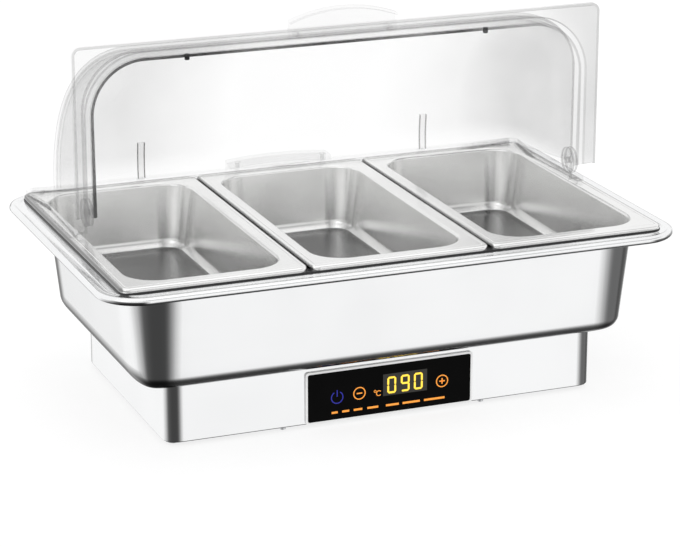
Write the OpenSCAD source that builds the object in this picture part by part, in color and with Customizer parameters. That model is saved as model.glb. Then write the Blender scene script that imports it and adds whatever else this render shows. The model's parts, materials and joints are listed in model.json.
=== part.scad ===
// Electric chafing dish with three food pans and a clear roll-top cover.
// The dish stands on z = 0, its long side runs along X and its control panel faces -Y.
// The front half of the cover is drawn rolled back inside the rear half.

/* [Base] */
// Length of the base box
base_l = 430; // [400:1:460]
// Depth of the base box
base_d = 248; // [236:1:270]
// Height of the base box
base_h = 57; // [55:1:75]
// Radius of the base box's upright edges
base_corner = 8; // [3:0.5:11]
// Thickness of the base sheet
sheet_t = 1; // [0.8:0.1:1.5]
// Width of the flange turned in at the top of the base
top_flange_w = 20; // [16:1:24]
// Width of the flange turned in at the bottom of the base
bottom_flange_w = 12; // [10:1:14]
// Height of a foot below the bottom plate
foot_h = 3; // [3:0.5:12]
// Radius of a foot
foot_r = 12; // [9:0.5:14]
// Distance of a foot's centre from the ends of the base
foot_inset = 30; // [27:1:45]

/* [Water pan] */
// Length over the rolled rim
rim_l = 566; // [560:1:600]
// Depth over the rolled rim
rim_d = 358; // [352:1:390]
// Radius of the rim's corners
rim_corner = 40; // [30:1:50]
// Radius of the rolled edge
roll_r = 3.5; // [2.5:0.1:5]
// Length of the tub at the ledge
tub_l = 505; // [503:1:508]
// Depth of the tub at the ledge
tub_d = 306; // [302:1:310]
// Height of the tub from its underside to the ledge
tub_h = 103; // [95:1:125]
// How far each wall leans in between the ledge and the bottom
tub_draft = 11; // [4:0.5:12]
// Radius of the tub's upright corners at the ledge
tub_corner = 38; // [36:0.5:42]
// Radius between the tub's walls and its bottom
tub_fillet = 15; // [8:0.5:15]
// Thickness of the tub sheet
tub_t = 1; // [0.8:0.1:1.2]
// Thickness of the seal under the food pans
seal_t = 1.2; // [0.8:0.1:3]
// How far the seal shows outside the food pans
seal_show = 0.6; // [0.4:0.1:2]

/* [Food pans] */
// Length of the block of pans, along X
block_l = 530; // [528:0.5:532]
// Depth of a pan over its lips
pan_d = 325; // [323:0.5:328]
// Gap between neighbouring pans
pan_gap = 1.6; // [0.6:0.1:3]
// Width of a pan's rim from lip to opening
pan_rim_w = 15.8; // [15.5:0.1:18]
// Height of the turned-down lip
lip_h = 4.3; // [3:0.1:8]
// Depth of a pan from its rim to its underside
pan_h = 65; // [40:1:80]
// How far each pan wall leans in between rim and bottom
pan_draft = 8; // [8:0.5:12]
// Radius of a pan's upright corners at the rim
pan_corner = 31; // [28:0.5:36]
// Radius of a rim's outer corners
pan_lip_corner = 9; // [5:0.5:12]
// Radius between a pan's walls and its bottom
pan_fillet = 12; // [6:0.5:12]
// Thickness of the pan sheet
pan_t = 0.8; // [0.6:0.1:1]

/* [Cover] */
// Length of the rear half over its end walls
cover_l = 500; // [480:1:504]
// Radius of the rear half about the hinge axis
cover_r = 149; // [140:0.5:150]
// Thickness of the clear sheet
cover_t = 2.5; // [2:0.1:3]
// Radius of the cover's rounded shoulders
cover_corner = 55; // [30:1:70]
// Gap between the nested halves
nest_gap = 1; // [0.6:0.1:2]
// Length of the cover's flange
flange_l = 527; // [524:0.5:530]
// Depth of the two flanges of the closed cover
flange_d = 322; // [318:0.5:325]
// Height of the flange with its lip
flange_h = 4.7; // [4:0.1:8]
// Radius of the flange's corners
flange_corner = 8; // [3:0.5:12]
// Gap between the flange ends of the two halves, each side of the middle
flange_gap = 1; // [0.5:0.1:3]
// Angle by which the closed front half reaches under the rear half
lap_angle = 6; // [2:0.5:6]
// Width of the stop ribs on the front half
rib_w = 7; // [4:0.5:10]
// Angle covered by a stop rib
rib_angle = 15; // [8:0.5:20]
// How far a stop rib stands in from the sheet
rib_h = 4; // [2:0.5:6]
// Distance of the stop ribs from the middle
rib_x = 150; // [80:1:180]
// How far the whole cover is lifted clear of the pan rims
cover_gap = 0.3; // [0.1:0.05:0.5]

/* [Hinge] */
// Height of the hinge axis above the underside of the flange
hinge_rise = 23; // [21:0.5:30]
// Radius of the round boss about the hinge
boss_r = 13; // [9:0.5:14]
// Radius of a hinge pin
pin_r = 3; // [2:0.1:4]
// Radius of a hinge pin's head
pin_head_r = 6.5; // [5:0.1:8]
// Thickness of a hinge pin's head and of its cap
pin_head_t = 2; // [1.5:0.1:3]

/* [Handles] */
// Width of a handle
handle_w = 107; // [80:1:130]
// How far a handle stands out of the flange
handle_out = 17; // [14:0.5:17.5]
// How much the front of a handle bows out
handle_bow = 10; // [6:0.5:12]
// Height of a handle's front edge
handle_h = 10; // [8:0.5:11]
// Thickness of a handle's plate above the flange
handle_step = 5.5; // [5:0.1:7]

/* [Control panel] */
// Width of the black glass
glass_w = 164; // [150:1:180]
// Height of the black glass
glass_h = 47; // [46:0.5:49]
// Thickness of the black glass
glass_t = 1.8; // [1.5:0.1:2.5]
// Width of the bezel round the glass
bezel_w = 2; // [1:0.1:3]
// Distance of the panel's middle from the middle of the base
panel_x = 4; // [-20:1:20]
// Width of the display window
display_w = 44; // [38:1:50]
// Height of the display window
display_h = 22; // [16:0.5:22]
// Depth of the display module behind the glass
display_t = 6; // [4:0.5:8]
// Height of the control board
board_h = 40; // [38:0.5:42]

/* [Heater] */
// Length of the heat spreader
spreader_l = 340; // [320:1:350]
// Depth of the heat spreader
spreader_d = 180; // [170:1:200]
// Thickness of the heat spreader
spreader_t = 3; // [2:0.5:4]
// Diameter of the heater tube
heater_dia = 7; // [6:0.1:8]
// Radius of the heater's bend
heater_bend = 50; // [40:1:60]
// Length of the heater's straight legs
heater_leg = 250; // [200:1:255]
// Thickness of the insulation pad
pad_t = 9; // [5:0.5:9]
// Gap between the insulation pad and the clamp screws
pad_gap = 1; // [0.5:0.1:2]

/* [Electronics] */
// Length of the power board
power_w = 120; // [110:1:130]
// Depth of the power board
power_d = 70; // [60:1:75]
// Height of the power board's standoffs
standoff_h = 8; // [5:0.5:8]
// Height of the transformer
transformer_h = 16; // [12:0.5:17]
// Radius of an insulated wire
wire_r = 1.2; // [0.8:0.1:1.5]

/* [Power inlet] */
// Distance of the inlet's middle from the middle of the base
inlet_x = 150; // [140:1:155]
// Height of the inlet's middle above the bottom of the base
inlet_z = 28; // [24:1:30]
// Width of the inlet's body
inlet_w = 27.4; // [27:0.1:28]
// Height of the inlet's body
inlet_h = 19.9; // [19:0.1:20.5]
// Depth of the inlet's body behind the wall
inlet_d = 26; // [22:1:30]

/* [Fit] */
// Radial clearance of a screw, stud or rivet in its hole
hole_gap = 0.05; // [0.02:0.01:0.08]
// Radial clearance of the turning hinge
pin_gap = 0.05; // [0.02:0.01:0.08]
// Gap between pieces that lie against each other
seat_gap = 0.1; // [0.05:0.01:0.2]

/* [Hidden] */
$fn = 96;
// Overlap that lets a cut run clear of a face
hair = 0.01;
// Depth to which a moulded rib is rooted in its sheet
root = 0.3;
// Least radius of an inside corner
least_corner = 2;

// Heights, from the floor up
base_z = foot_h + sheet_t;
base_top = base_z + base_h;
flange_top = base_top - sheet_t;
ledge_z = base_top + tub_h;
lip_z = ledge_z + seal_t;
pan_top = lip_z + lip_h;
flange_z = pan_top + cover_gap;
hinge_z = flange_z + hinge_rise;

// Small fasteners: shaft radius, head radius and head height
m25 = 1.25;
m25_head = 2.4;
m25_head_h = 1.6;
m3 = 1.5;
m3_head = 2.8;
m3_head_h = 2;
m4 = 2;
m4_head = 3.8;
m4_head_h = 1.2;
m4_nut = 4;
m4_nut_h = 3.2;
m5 = 2.5;
m5_nut = 5;
m5_nut_h = 4;
// Length by which a bolt stands out of its nut, and a screw bites into its post
bolt_spare = 1;
bite = 4;
// Depth of a blind thread, and the room left at its end
blind_l = 1.5;
blind_room = 0.3;

// Feet and bottom plate
foot_x = base_l / 2 - foot_inset;
foot_y = base_d / 2 - foot_inset;
foot_recess = foot_h / 2;
recess_room = 0.6;
plate_inset = 3;
plate_screw_x = base_l / 2 - bottom_flange_w / 2;
plate_screw_y = base_d / 2 - bottom_flange_w / 2;
plate_screw_along = [-100, 100];
plate_screw_across = [-60, 60];
plate_screw_l = 6;

// Rim of the water pan
rim_band = 3 * roll_r;
tub_lean = atan(tub_draft / (tub_h - tub_t));
tub_in = tub_t / cos(tub_lean);
seal_inset = 1;

// Studs between water pan and base
stud_x = base_l / 2 - top_flange_w / 2;
stud_y = base_d / 2 - top_flange_w / 2;
stud_along = [-90, 90];
stud_across = [-75, 75];
stud_l = sheet_t + m5_nut_h + 3 * bolt_spare;

// Food pans
pan_count = 3;
pan_l = (block_l - (pan_count - 1) * pan_gap) / pan_count;
pan_pitch = pan_l + pan_gap;
pan_open_l = pan_l - 2 * pan_rim_w;
pan_open_d = pan_d - 2 * pan_rim_w;
pan_wall_h = pan_h - pan_t;
pan_lean = atan(pan_draft / pan_wall_h);
pan_in = pan_t / cos(pan_lean);

// Heater group, hung under the water pan
spreader_z = base_top - spreader_t;
spreader_corner = 10;
heater_z = spreader_z - seat_gap - heater_dia / 2;
heater_shift = 15;
bend_x = heater_shift - heater_leg / 2;
leg_end_x = bend_x + heater_leg;
ceramic_l = 12;
terminal_r = 1.5;
terminal_l = 12;
terminal_end_x = leg_end_x + ceramic_l + terminal_l;
clamp_boss_r = 6;
clamp_boss_h = heater_dia + 2 * seat_gap;
clamp_xs = [-110, 0, 110];
clamp_w = 16;
clamp_t = 1.5;
clamp_over = 12;
clamp_z = spreader_z - clamp_boss_h - clamp_t;
pad_top = clamp_z - m3_head_h - pad_gap;
pad_z = pad_top - pad_t;
pad_inset = 2;
shield_z = pad_z - sheet_t;
shield_room = 1;
shield_x = spreader_l / 2 + shield_room;
shield_leg_w = 80;
rivet_r = 1.6;
rivet_head = 3.2;
rivet_head_h = 1.2;
rivet_x = base_l / 2 - top_flange_w + 2 * rivet_head;
rivet_y = 25;
cutout_x = 55;
cutout_r = 8;
cutout_h = 7;
cutout_ear = 12;
cutout_ear_w = 10;
cutout_ear_t = 1;
tab = [6.3, 0.8, 2.5];
tab_y = 4;
probe_x = -60;
probe_r = 2.5;
probe_l = 30;
probe_z = spreader_z - seat_gap - probe_r;
clip_w = 8;
clip_t = 0.8;
clip_foot = 7;
clip_z = probe_z - probe_r - seat_gap - clip_t;
clip_screw_y = -(probe_r + clip_foot / 2 + seat_gap);

// Control panel group, behind the front wall
front_y = -base_d / 2;
panel_z = base_z + bezel_w + glass_h / 2;
bezel_corner = 3;
bezel_proud = 0.2;
glass_corner = 2.5;
window_inset_x = 7;
window_inset_z = 4.5;
mark_z = panel_z - 1.5;
display_x = panel_x + 15.5;
display_z = panel_z + 3.5;
board_y = front_y + seat_gap + display_t;
board_t = 1.6;
board_w = glass_w + 8;
board_screw_x = board_w / 2 - 4.5;
board_screw_z = board_h / 2 - 5;
post_r = 3;
touch_xs = [-53, -31, 53];
touch_r = 4;
touch_wall = 0.8;
bar_z = panel_z - 16.7;
bar_h = 3;
bar_depth = 2.5;
bar_xs = [-55.4, -44.4, -32.1, -17.3, 2.5, 21.6, 45.1];
bar_ls = [6, 7, 8.5, 11, 13, 17.5, 21];

// Power board group, on the bottom plate
power_x = 100;
power_y = 22;
power_z = base_z + standoff_h;
power_top = power_z + board_t;
power_screw_inset = 5;
relay = [29, 13, 15];
relay_shift = 10;
transformer_l = 33;
transformer_d = 28;
transformer_inset = 12;
terminal = [30, 14, 12];
terminal_inset_x = 12;
terminal_inset_y = 2;
terminal_x = power_x + power_w / 2 - terminal[0] / 2 - terminal_inset_x;
terminal_y = power_y + power_d / 2 - terminal[1] / 2 - terminal_inset_y;
terminal_pitch = 10;
ribbon_w = 20;
ribbon_t = 0.8;
ribbon_x = power_x - 20;
ribbon_rise = 10;
ribbon_land = 6;

// Mains inlet, in the rear wall
rear_y = base_d / 2;
inlet_top = base_z + inlet_z;
inlet_flange = [48, 3, 24];
inlet_mouth = [22.5, 17, 15];
inlet_room = 0.2;
inlet_clear = 1.5;
inlet_screw_x = 20;
blade = [2, 14, 4];
blade_tail = 8;
blade_xs = [-7, 0, 7];
blade_zs = [-2, 2, -2];
blade_back_y = rear_y - inlet_d - blade_tail;
blade_length = inlet_d + blade_tail - inlet_mouth[1] + blade[1];
earth_x = base_l / 2 - bottom_flange_w - 14;
earth_y = base_d / 2 - bottom_flange_w - 40;
earth_l = 12;

// Cover
rear_half_l = cover_l / 2;
front_half_l = rear_half_l - cover_t - nest_gap;
front_r = cover_r - cover_t - nest_gap;
front_corner = cover_corner - cover_t - nest_gap;
flange_y = flange_d / 2;
flange_rise = flange_h - hinge_rise;
lug_in = 5;
lug_top = -front_r * sin(lap_angle) - cover_gap;
peg_r = 2.4;
peg_l = 5.5;
peg_drop = 8;
pin_end_gap = 0.5;
cap_x = front_half_l - cover_t - pin_end_gap - pin_head_t;
handle_back = cover_r + 0.5;
handle_arc = (pow(handle_w / 2, 2) + pow(handle_bow, 2)) / (2 * handle_bow);
handle_rivet_x = handle_w / 2 - 8;
handle_rivet_y = (cover_r + flange_y - cover_t) / 2;
cover_rivet_r = 2;
cover_rivet_head = 3.4;
cover_rivet_head_h = 1;

// Colours
steel = [0.86, 0.87, 0.88];
satin = [0.74, 0.75, 0.76];
clear = [0.86, 0.92, 0.95, 0.35];
black = [0.05, 0.05, 0.06];
white = [0.95, 0.95, 0.95];
zinc = [0.62, 0.63, 0.65];
copper = [0.72, 0.42, 0.26];
amber = [0.95, 0.55, 0.10];
red = [0.75, 0.15, 0.12];
board_green = [0.10, 0.35, 0.18];
ceramic_white = [0.92, 0.90, 0.86];
wool = [0.80, 0.76, 0.66];

// Flat rounded rectangle about the origin
module rounded(l, d, r) {
    square([l - 2 * r, d], center = true);
    square([l, d - 2 * r], center = true);
    for (x = [-1, 1], y = [-1, 1]) translate([x * (l / 2 - r), y * (d / 2 - r)]) circle(r);
}

// Flat rounded ring of width w
module rounded_ring(l, d, r, w) {
    difference() {
        rounded(l, d, r);
        rounded(l - 2 * w, d - 2 * w, max(r - w, least_corner));
    }
}

// Sweeps a flat section round a rounded rectangle whose corner centres lie at (cx, cy).
// The section's X runs outward from a corner centre and its Y runs up.
module sweep_round(cx, cy) {
    for (x = [0, 1], y = [0, 1]) mirror([x, 0, 0]) mirror([0, y, 0])
        translate([cx, cy, 0]) rotate_extrude(angle = 90) children();
    for (x = [0, 1]) mirror([x, 0, 0])
        translate([cx, cy, 0]) rotate([90, 0, 0]) linear_extrude(2 * cy) children();
    for (y = [0, 1]) mirror([0, y, 0])
        translate([-cx, cy, 0]) rotate([90, 0, 90]) linear_extrude(2 * cx) children();
}

// Filled section of a drawn tub, set in by t, with its top at height h
module tub_fill(corner, h, draft, fillet, t) {
    lean = atan(draft / h);
    foot = corner - fillet * cos(lean) - (h - fillet + fillet * sin(lean)) * tan(lean);
    bend = fillet - t;
    intersection() {
        translate([0, t]) square([corner, h - t]);
        union() {
            translate([foot, fillet]) circle(bend);
            polygon([[0, t], [foot, t], [foot, fillet],
                [foot + bend * cos(lean), fillet - bend * sin(lean)],
                [corner - t / cos(lean), h], [0, h]]);
        }
    }
}

// Drawn sheet tub with its underside at z = 0, open at the top
module tub(l, d, h, draft, corner, fillet, t) {
    cx = l / 2 - corner;
    cy = d / 2 - corner;
    sweep_round(cx, cy) difference() {
        tub_fill(corner, h, draft, fillet, 0);
        tub_fill(corner, h, draft, fillet, t);
    }
    translate([-cx, -cy, 0]) cube([2 * cx, 2 * cy, t]);
}

// Copies a piece to the four corners of a rectangle
module at_corners(x, y) {
    for (sx = [-1, 1], sy = [-1, 1]) translate([sx * x, sy * y, 0]) children();
}

// Copies a piece along both long sides and both short sides
module at_sides(x, y, along, across) {
    for (s = [-1, 1], a = along) translate([a, s * y, 0]) children();
    for (s = [-1, 1], a = across) translate([s * x, a, 0]) children();
}

// Copies a piece to the four screws of the control board, pointing into the room behind the wall
module at_board(y) {
    for (sx = [-1, 1], sz = [-1, 1])
        translate([panel_x + sx * board_screw_x, y, panel_z + sz * board_screw_z])
            rotate([-90, 0, 0]) children();
}

// Copies a piece to the four screws of the power board
module at_power(z) {
    translate([power_x, power_y, z])
        at_corners(power_w / 2 - power_screw_inset, power_d / 2 - power_screw_inset) children();
}

// Box centred in X and Y on a point of its underside
module box(size) {
    translate([-size[0] / 2, -size[1] / 2, 0]) cube(size);
}

// Screw that points up, with the underside of its head at z = 0
module screw(shaft_r, shaft_l, head_r, head_h) {
    translate([0, 0, -head_h]) cylinder(r = head_r, h = head_h);
    cylinder(r = shaft_r, h = shaft_l);
}

// Round hole that runs up from z = 0
module hole(r, h) {
    translate([0, 0, -hair]) cylinder(r = r, h = h + 2 * hair);
}

// Hexagon nut standing on z = 0
module nut(r, h, bore_r) {
    difference() {
        cylinder(r = r, h = h, $fn = 6);
        hole(bore_r, h);
    }
}

// Round post with a hole through it
module post(r, h, bore_r) {
    difference() {
        cylinder(r = r, h = h);
        hole(bore_r, h);
    }
}

// Direction of travel at point i of a route
function heading(p, i) =
    let (a = p[max(i - 1, 0)], b = p[min(i + 1, len(p) - 1)]) (b - a) / norm(b - a);

// Round wire swept along a route
module wire(route, r, sides = 8) {
    n = len(route);
    up = [0.31, 0.17, 0.94];
    rings = [for (i = [0 : n - 1])
        let (t = heading(route, i), u = cross(up, t) / norm(cross(up, t)), v = cross(t, u))
        for (k = [0 : sides - 1])
            route[i] + r * (cos(360 * k / sides) * u + sin(360 * k / sides) * v)];
    walls = [for (i = [0 : n - 2], k = [0 : sides - 1])
        let (a = i * sides + k, b = i * sides + (k + 1) % sides)
        each [[a, a + sides, b], [b, a + sides, b + sides]]];
    start = [for (k = [1 : sides - 2]) [0, k, k + 1]];
    end = [for (k = [1 : sides - 2]) [(n - 1) * sides, (n - 1) * sides + k + 1, (n - 1) * sides + k]];
    polyhedron(rings, concat(walls, start, end));
}

module base_housing() {
    color(steel) difference() {
        translate([0, 0, base_z]) union() {
            linear_extrude(base_h) rounded_ring(base_l, base_d, base_corner, sheet_t);
            linear_extrude(sheet_t) base_flange(bottom_flange_w);
            translate([0, 0, base_h - sheet_t]) linear_extrude(sheet_t) base_flange(top_flange_w);
        }
        at_sides(plate_screw_x, plate_screw_y, plate_screw_along, plate_screw_across)
            translate([0, 0, base_z]) hole(m3 + hole_gap, sheet_t);
        at_sides(stud_x, stud_y, stud_along, stud_across)
            translate([0, 0, flange_top]) hole(m5 + hole_gap, sheet_t);
        at_corners(rivet_x, rivet_y) translate([0, 0, flange_top]) hole(rivet_r + hole_gap, sheet_t);
        translate([panel_x, front_y + sheet_t / 2, panel_z])
            cube([glass_w - 2 * window_inset_x, 2 * sheet_t, glass_h - 2 * window_inset_z], center = true);
        translate([inlet_x, rear_y - sheet_t / 2, inlet_top])
            cube([inlet_w + 2 * inlet_room, 2 * sheet_t, inlet_h + 2 * inlet_room], center = true);
        at_inlet_screws(rear_y - sheet_t) hole(m3 + hole_gap, sheet_t);
    }
}

// Flange turned in from the base's wall
module base_flange(w) {
    rounded_ring(base_l - 2 * sheet_t, base_d - 2 * sheet_t, base_corner - sheet_t, w - sheet_t);
}

// Copies a piece to the inlet's two screws, pointing out of the rear wall
module at_inlet_screws(y) {
    for (s = [-1, 1]) translate([inlet_x + s * inlet_screw_x, y, inlet_top]) rotate([-90, 0, 0]) children();
}

module bottom_plate() {
    color(steel) translate([0, 0, foot_h]) difference() {
        linear_extrude(sheet_t) rounded(base_l - 2 * plate_inset, base_d - 2 * plate_inset, base_corner);
        at_corners(foot_x, foot_y) hole(m4 + hole_gap, sheet_t);
        at_sides(plate_screw_x, plate_screw_y, plate_screw_along, plate_screw_across)
            hole(m3 + hole_gap, sheet_t);
    }
}

module plate_screws() {
    color(zinc) at_sides(plate_screw_x, plate_screw_y, plate_screw_along, plate_screw_across)
        translate([0, 0, foot_h]) screw(m3, plate_screw_l, m3_head, m3_head_h);
}

module rubber_feet() {
    color(black) at_corners(foot_x, foot_y) difference() {
        cylinder(r = foot_r, h = foot_h);
        hole(m4_head + recess_room, foot_recess - hair);
        hole(m4 + hole_gap, foot_h);
    }
}

module foot_screws() {
    color(zinc) at_corners(foot_x, foot_y) translate([0, 0, foot_recess])
        screw(m4, base_z - foot_recess + m4_nut_h + bolt_spare, m4_head, m4_head_h);
}

module foot_nuts() {
    color(zinc) at_corners(foot_x, foot_y) translate([0, 0, base_z]) nut(m4_nut, m4_nut_h, m4 + hole_gap);
}

module water_pan() {
    color(steel) {
        translate([0, 0, base_top])
            tub(tub_l, tub_d, tub_h - tub_t, tub_draft, tub_corner, tub_fillet, tub_t);
        translate([0, 0, ledge_z - tub_t]) linear_extrude(tub_t) difference() {
            rounded(rim_l - 2 * rim_band, rim_d - 2 * rim_band, rim_corner - rim_band);
            rounded(tub_l - 2 * tub_in, tub_d - 2 * tub_in, tub_corner - tub_in);
        }
        sweep_round(rim_l / 2 - rim_corner, rim_d / 2 - rim_corner) {
            translate([rim_corner - rim_band, ledge_z - tub_t]) square([rim_band - roll_r, tub_t]);
            translate([rim_corner - roll_r, ledge_z - roll_r]) difference() {
                circle(roll_r);
                circle(roll_r - tub_t);
            }
        }
    }
}

module pan_studs() {
    color(zinc) at_sides(stud_x, stud_y, stud_along, stud_across)
        translate([0, 0, base_top - stud_l]) cylinder(r = m5, h = stud_l);
}

module pan_nuts() {
    color(zinc) at_sides(stud_x, stud_y, stud_along, stud_across)
        translate([0, 0, flange_top - m5_nut_h]) nut(m5_nut, m5_nut_h, m5 + hole_gap);
}

module pan_seal() {
    color(black) translate([0, 0, ledge_z]) linear_extrude(seal_t) difference() {
        rounded(block_l + 2 * seal_show, pan_d + 2 * seal_show, pan_lip_corner + seal_show);
        rounded(tub_l + 2 * seal_inset, tub_d + 2 * seal_inset, tub_corner);
    }
}

module heat_spreader() {
    color(satin) difference() {
        union() {
            translate([0, 0, spreader_z]) linear_extrude(spreader_t)
                rounded(spreader_l, spreader_d, spreader_corner);
            for (x = clamp_xs) translate([x, 0, spreader_z - clamp_boss_h])
                cylinder(r = clamp_boss_r, h = clamp_boss_h);
        }
        for (x = clamp_xs) translate([x, 0, spreader_z - clamp_boss_h])
            hole(m3 + hole_gap, clamp_boss_h + blind_l);
        at_cutout_screws(spreader_z) hole(m3 + hole_gap, blind_l);
        translate([probe_x, clip_screw_y, spreader_z]) hole(m3 + hole_gap, blind_l);
    }
}

// Copies a piece to the cut-out's two screws
module at_cutout_screws(z) {
    for (s = [-1, 1]) translate([cutout_x + s * cutout_ear, 0, z]) children();
}

module heater_tube() {
    color(zinc) translate([bend_x, 0, heater_z]) {
        rotate(90) rotate_extrude(angle = 180) translate([heater_bend, 0]) circle(d = heater_dia);
        for (s = [-1, 1]) translate([0, s * heater_bend, 0]) rotate([0, 90, 0])
            cylinder(d = heater_dia, h = heater_leg);
    }
}

module heater_ends() {
    color(ceramic_white) for (s = [-1, 1])
        translate([leg_end_x, s * heater_bend, heater_z]) rotate([0, 90, 0]) {
            cylinder(d = heater_dia, h = ceramic_l);
            translate([0, 0, ceramic_l]) cylinder(r = terminal_r, h = terminal_l);
        }
}

module heater_clamps() {
    color(zinc) for (x = clamp_xs) translate([x, 0, clamp_z]) difference() {
        box([clamp_w, 2 * (heater_bend + clamp_over), clamp_t]);
        hole(m3 + hole_gap, clamp_t);
    }
}

module clamp_screws() {
    color(zinc) for (x = clamp_xs) translate([x, 0, clamp_z])
        screw(m3, clamp_t + clamp_boss_h + blind_l - blind_room, m3_head, m3_head_h);
}

module insulation_pad() {
    color(wool) difference() {
        translate([0, 0, pad_z]) linear_extrude(pad_t)
            rounded(spreader_l - 2 * pad_inset, spreader_d - 2 * pad_inset, spreader_corner);
        inlet_space();
    }
}

// Space kept free round the inlet's body where the heater group reaches back to it
module inlet_space() {
    translate([inlet_x, rear_y - inlet_d / 2, inlet_top])
        cube([inlet_w, inlet_d, inlet_h] + 2 * inlet_clear * [1, 1, 1], center = true);
}

module heat_shield() {
    color(zinc) difference() {
        union() {
            translate([0, 0, shield_z]) box([2 * (shield_x + sheet_t), spreader_d, sheet_t]);
            for (m = [0, 1]) mirror([m, 0, 0]) {
                translate([shield_x, -shield_leg_w / 2, shield_z + sheet_t])
                    cube([sheet_t, shield_leg_w, flange_top - 2 * sheet_t - shield_z]);
                translate([shield_x, -shield_leg_w / 2, flange_top - sheet_t])
                    cube([rivet_x + 2 * rivet_head - shield_x, shield_leg_w, sheet_t]);
            }
        }
        at_corners(rivet_x, rivet_y) translate([0, 0, flange_top - sheet_t])
            hole(rivet_r + hole_gap, sheet_t);
        inlet_space();
    }
}

module shield_rivets() {
    color(zinc) at_corners(rivet_x, rivet_y) translate([0, 0, flange_top - sheet_t])
        screw(rivet_r, 2 * sheet_t - seat_gap, rivet_head, rivet_head_h);
}

module thermal_cutout() {
    color(black) difference() {
        translate([cutout_x, 0, spreader_z]) {
            translate([0, 0, -cutout_h]) cylinder(r = cutout_r, h = cutout_h);
            translate([0, 0, -cutout_ear_t])
                box([2 * cutout_ear + cutout_ear_w, cutout_ear_w, cutout_ear_t]);
            for (s = [-1, 1]) translate([0, s * tab_y, -cutout_h - tab[2]]) box(tab);
        }
        at_cutout_screws(spreader_z - cutout_ear_t) hole(m3 + hole_gap, cutout_ear_t);
    }
}

module cutout_screws() {
    color(zinc) at_cutout_screws(spreader_z - cutout_ear_t)
        screw(m3, cutout_ear_t + blind_l - blind_room, m3_head, m3_head_h);
}

module temperature_probe() {
    color(steel) translate([probe_x - probe_l / 2, 0, probe_z]) rotate([0, 90, 0])
        cylinder(r = probe_r, h = probe_l);
}

module probe_clip() {
    reach = probe_r + clip_foot;
    color(zinc) difference() {
        translate([probe_x - clip_w / 2, 0, clip_z]) {
            translate([0, -reach, 0]) cube([clip_w, reach + probe_r, clip_t]);
            translate([0, -reach, clip_t])
                cube([clip_w, clip_foot - 2 * seat_gap, spreader_z - clip_z - clip_t]);
        }
        translate([probe_x, clip_screw_y, clip_z]) hole(m3 + hole_gap, spreader_z - clip_z);
    }
}

module probe_screw() {
    color(zinc) translate([probe_x, clip_screw_y, clip_z])
        screw(m3, spreader_z - clip_z + blind_l - blind_room, m3_head, m3_head_h);
}

// Lays a flat panel outline against the front wall
module on_front(x, z, depth) {
    translate([x, front_y, z]) rotate([90, 0, 0]) linear_extrude(depth) children();
}

module panel_bezel() {
    color(white) on_front(panel_x, panel_z, glass_t + bezel_proud)
        rounded_ring(glass_w + 2 * bezel_w, glass_h + 2 * bezel_w, bezel_corner, bezel_w);
}

module control_glass() {
    color(black) on_front(panel_x, panel_z, glass_t)
        rounded(glass_w - 2 * seat_gap, glass_h - 2 * seat_gap, glass_corner);
}

module display_module() {
    color(black) translate([display_x - display_w / 2, front_y + seat_gap, display_z - display_h / 2])
        cube([display_w, display_t, display_h]);
}

module bar_lights() {
    color(amber) for (i = [0 : len(bar_xs) - 1])
        translate([panel_x + bar_xs[i] - bar_ls[i] / 2, board_y - bar_depth, bar_z - bar_h / 2])
            cube([bar_ls[i], bar_depth, bar_h]);
}

module touch_springs() {
    color(copper) for (x = touch_xs) translate([panel_x + x, front_y + seat_gap, mark_z])
        rotate([-90, 0, 0]) post(touch_r, display_t, touch_r - touch_wall);
}

module control_board() {
    color(board_green) difference() {
        translate([panel_x - board_w / 2, board_y, panel_z - board_h / 2]) cube([board_w, board_t, board_h]);
        at_board(board_y) hole(m25 + hole_gap, board_t);
    }
}

module board_standoffs() {
    color(zinc) at_board(front_y + sheet_t) post(post_r, board_y - front_y - sheet_t, m25 + hole_gap);
}

module board_screws() {
    color(zinc) at_board(board_y + board_t) rotate([180, 0, 0])
        screw(m25, board_t + bite, m25_head, m25_head_h);
}

module power_board() {
    color(board_green) difference() {
        translate([power_x, power_y, power_z]) box([power_w, power_d, board_t]);
        at_power(power_z) hole(m25 + hole_gap, board_t);
    }
}

module power_standoffs() {
    color(zinc) at_power(base_z) post(post_r, standoff_h, m25 + hole_gap);
}

module power_screws() {
    color(zinc) at_power(power_top) rotate([180, 0, 0]) screw(m25, board_t + bite, m25_head, m25_head_h);
}

module power_relay() {
    color(black) translate([power_x + relay_shift, power_y, power_top]) box(relay);
}

module transformer() {
    color(copper) translate([power_x - power_w / 2 + transformer_inset,
        power_y - power_d / 2 + transformer_inset, power_top])
        cube([transformer_l, transformer_d, transformer_h]);
}

module terminal_block() {
    color(board_green) translate([terminal_x, terminal_y, power_top]) box(terminal);
}

module power_inlet() {
    color(black) difference() {
        translate([inlet_x, rear_y, inlet_top]) {
            translate([-inlet_w / 2, -inlet_d, -inlet_h / 2]) cube([inlet_w, inlet_d, inlet_h]);
            translate([-inlet_flange[0] / 2, 0, -inlet_flange[2] / 2]) cube(inlet_flange);
        }
        translate([inlet_x - inlet_mouth[0] / 2, rear_y - inlet_mouth[1], inlet_top - inlet_mouth[2] / 2])
            cube(inlet_mouth + [0, inlet_flange[1] + hair, 0]);
        at_inlet_screws(rear_y) hole(m3 + hole_gap, inlet_flange[1]);
        at_blades() translate([0, -hair, 0]) blade_bar(hole_gap);
    }
}

// Copies a blade to the inlet's three poles
module at_blades() {
    for (i = [0 : len(blade_xs) - 1])
        translate([inlet_x + blade_xs[i], blade_back_y, inlet_top + blade_zs[i]]) children();
}

// One contact blade, swollen by grow all round
module blade_bar(grow) {
    translate([-blade[0] / 2 - grow, 0, -blade[2] / 2 - grow])
        cube([blade[0] + 2 * grow, blade_length, blade[2] + 2 * grow]);
}

module inlet_pins() {
    color(zinc) at_blades() blade_bar(0);
}

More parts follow.
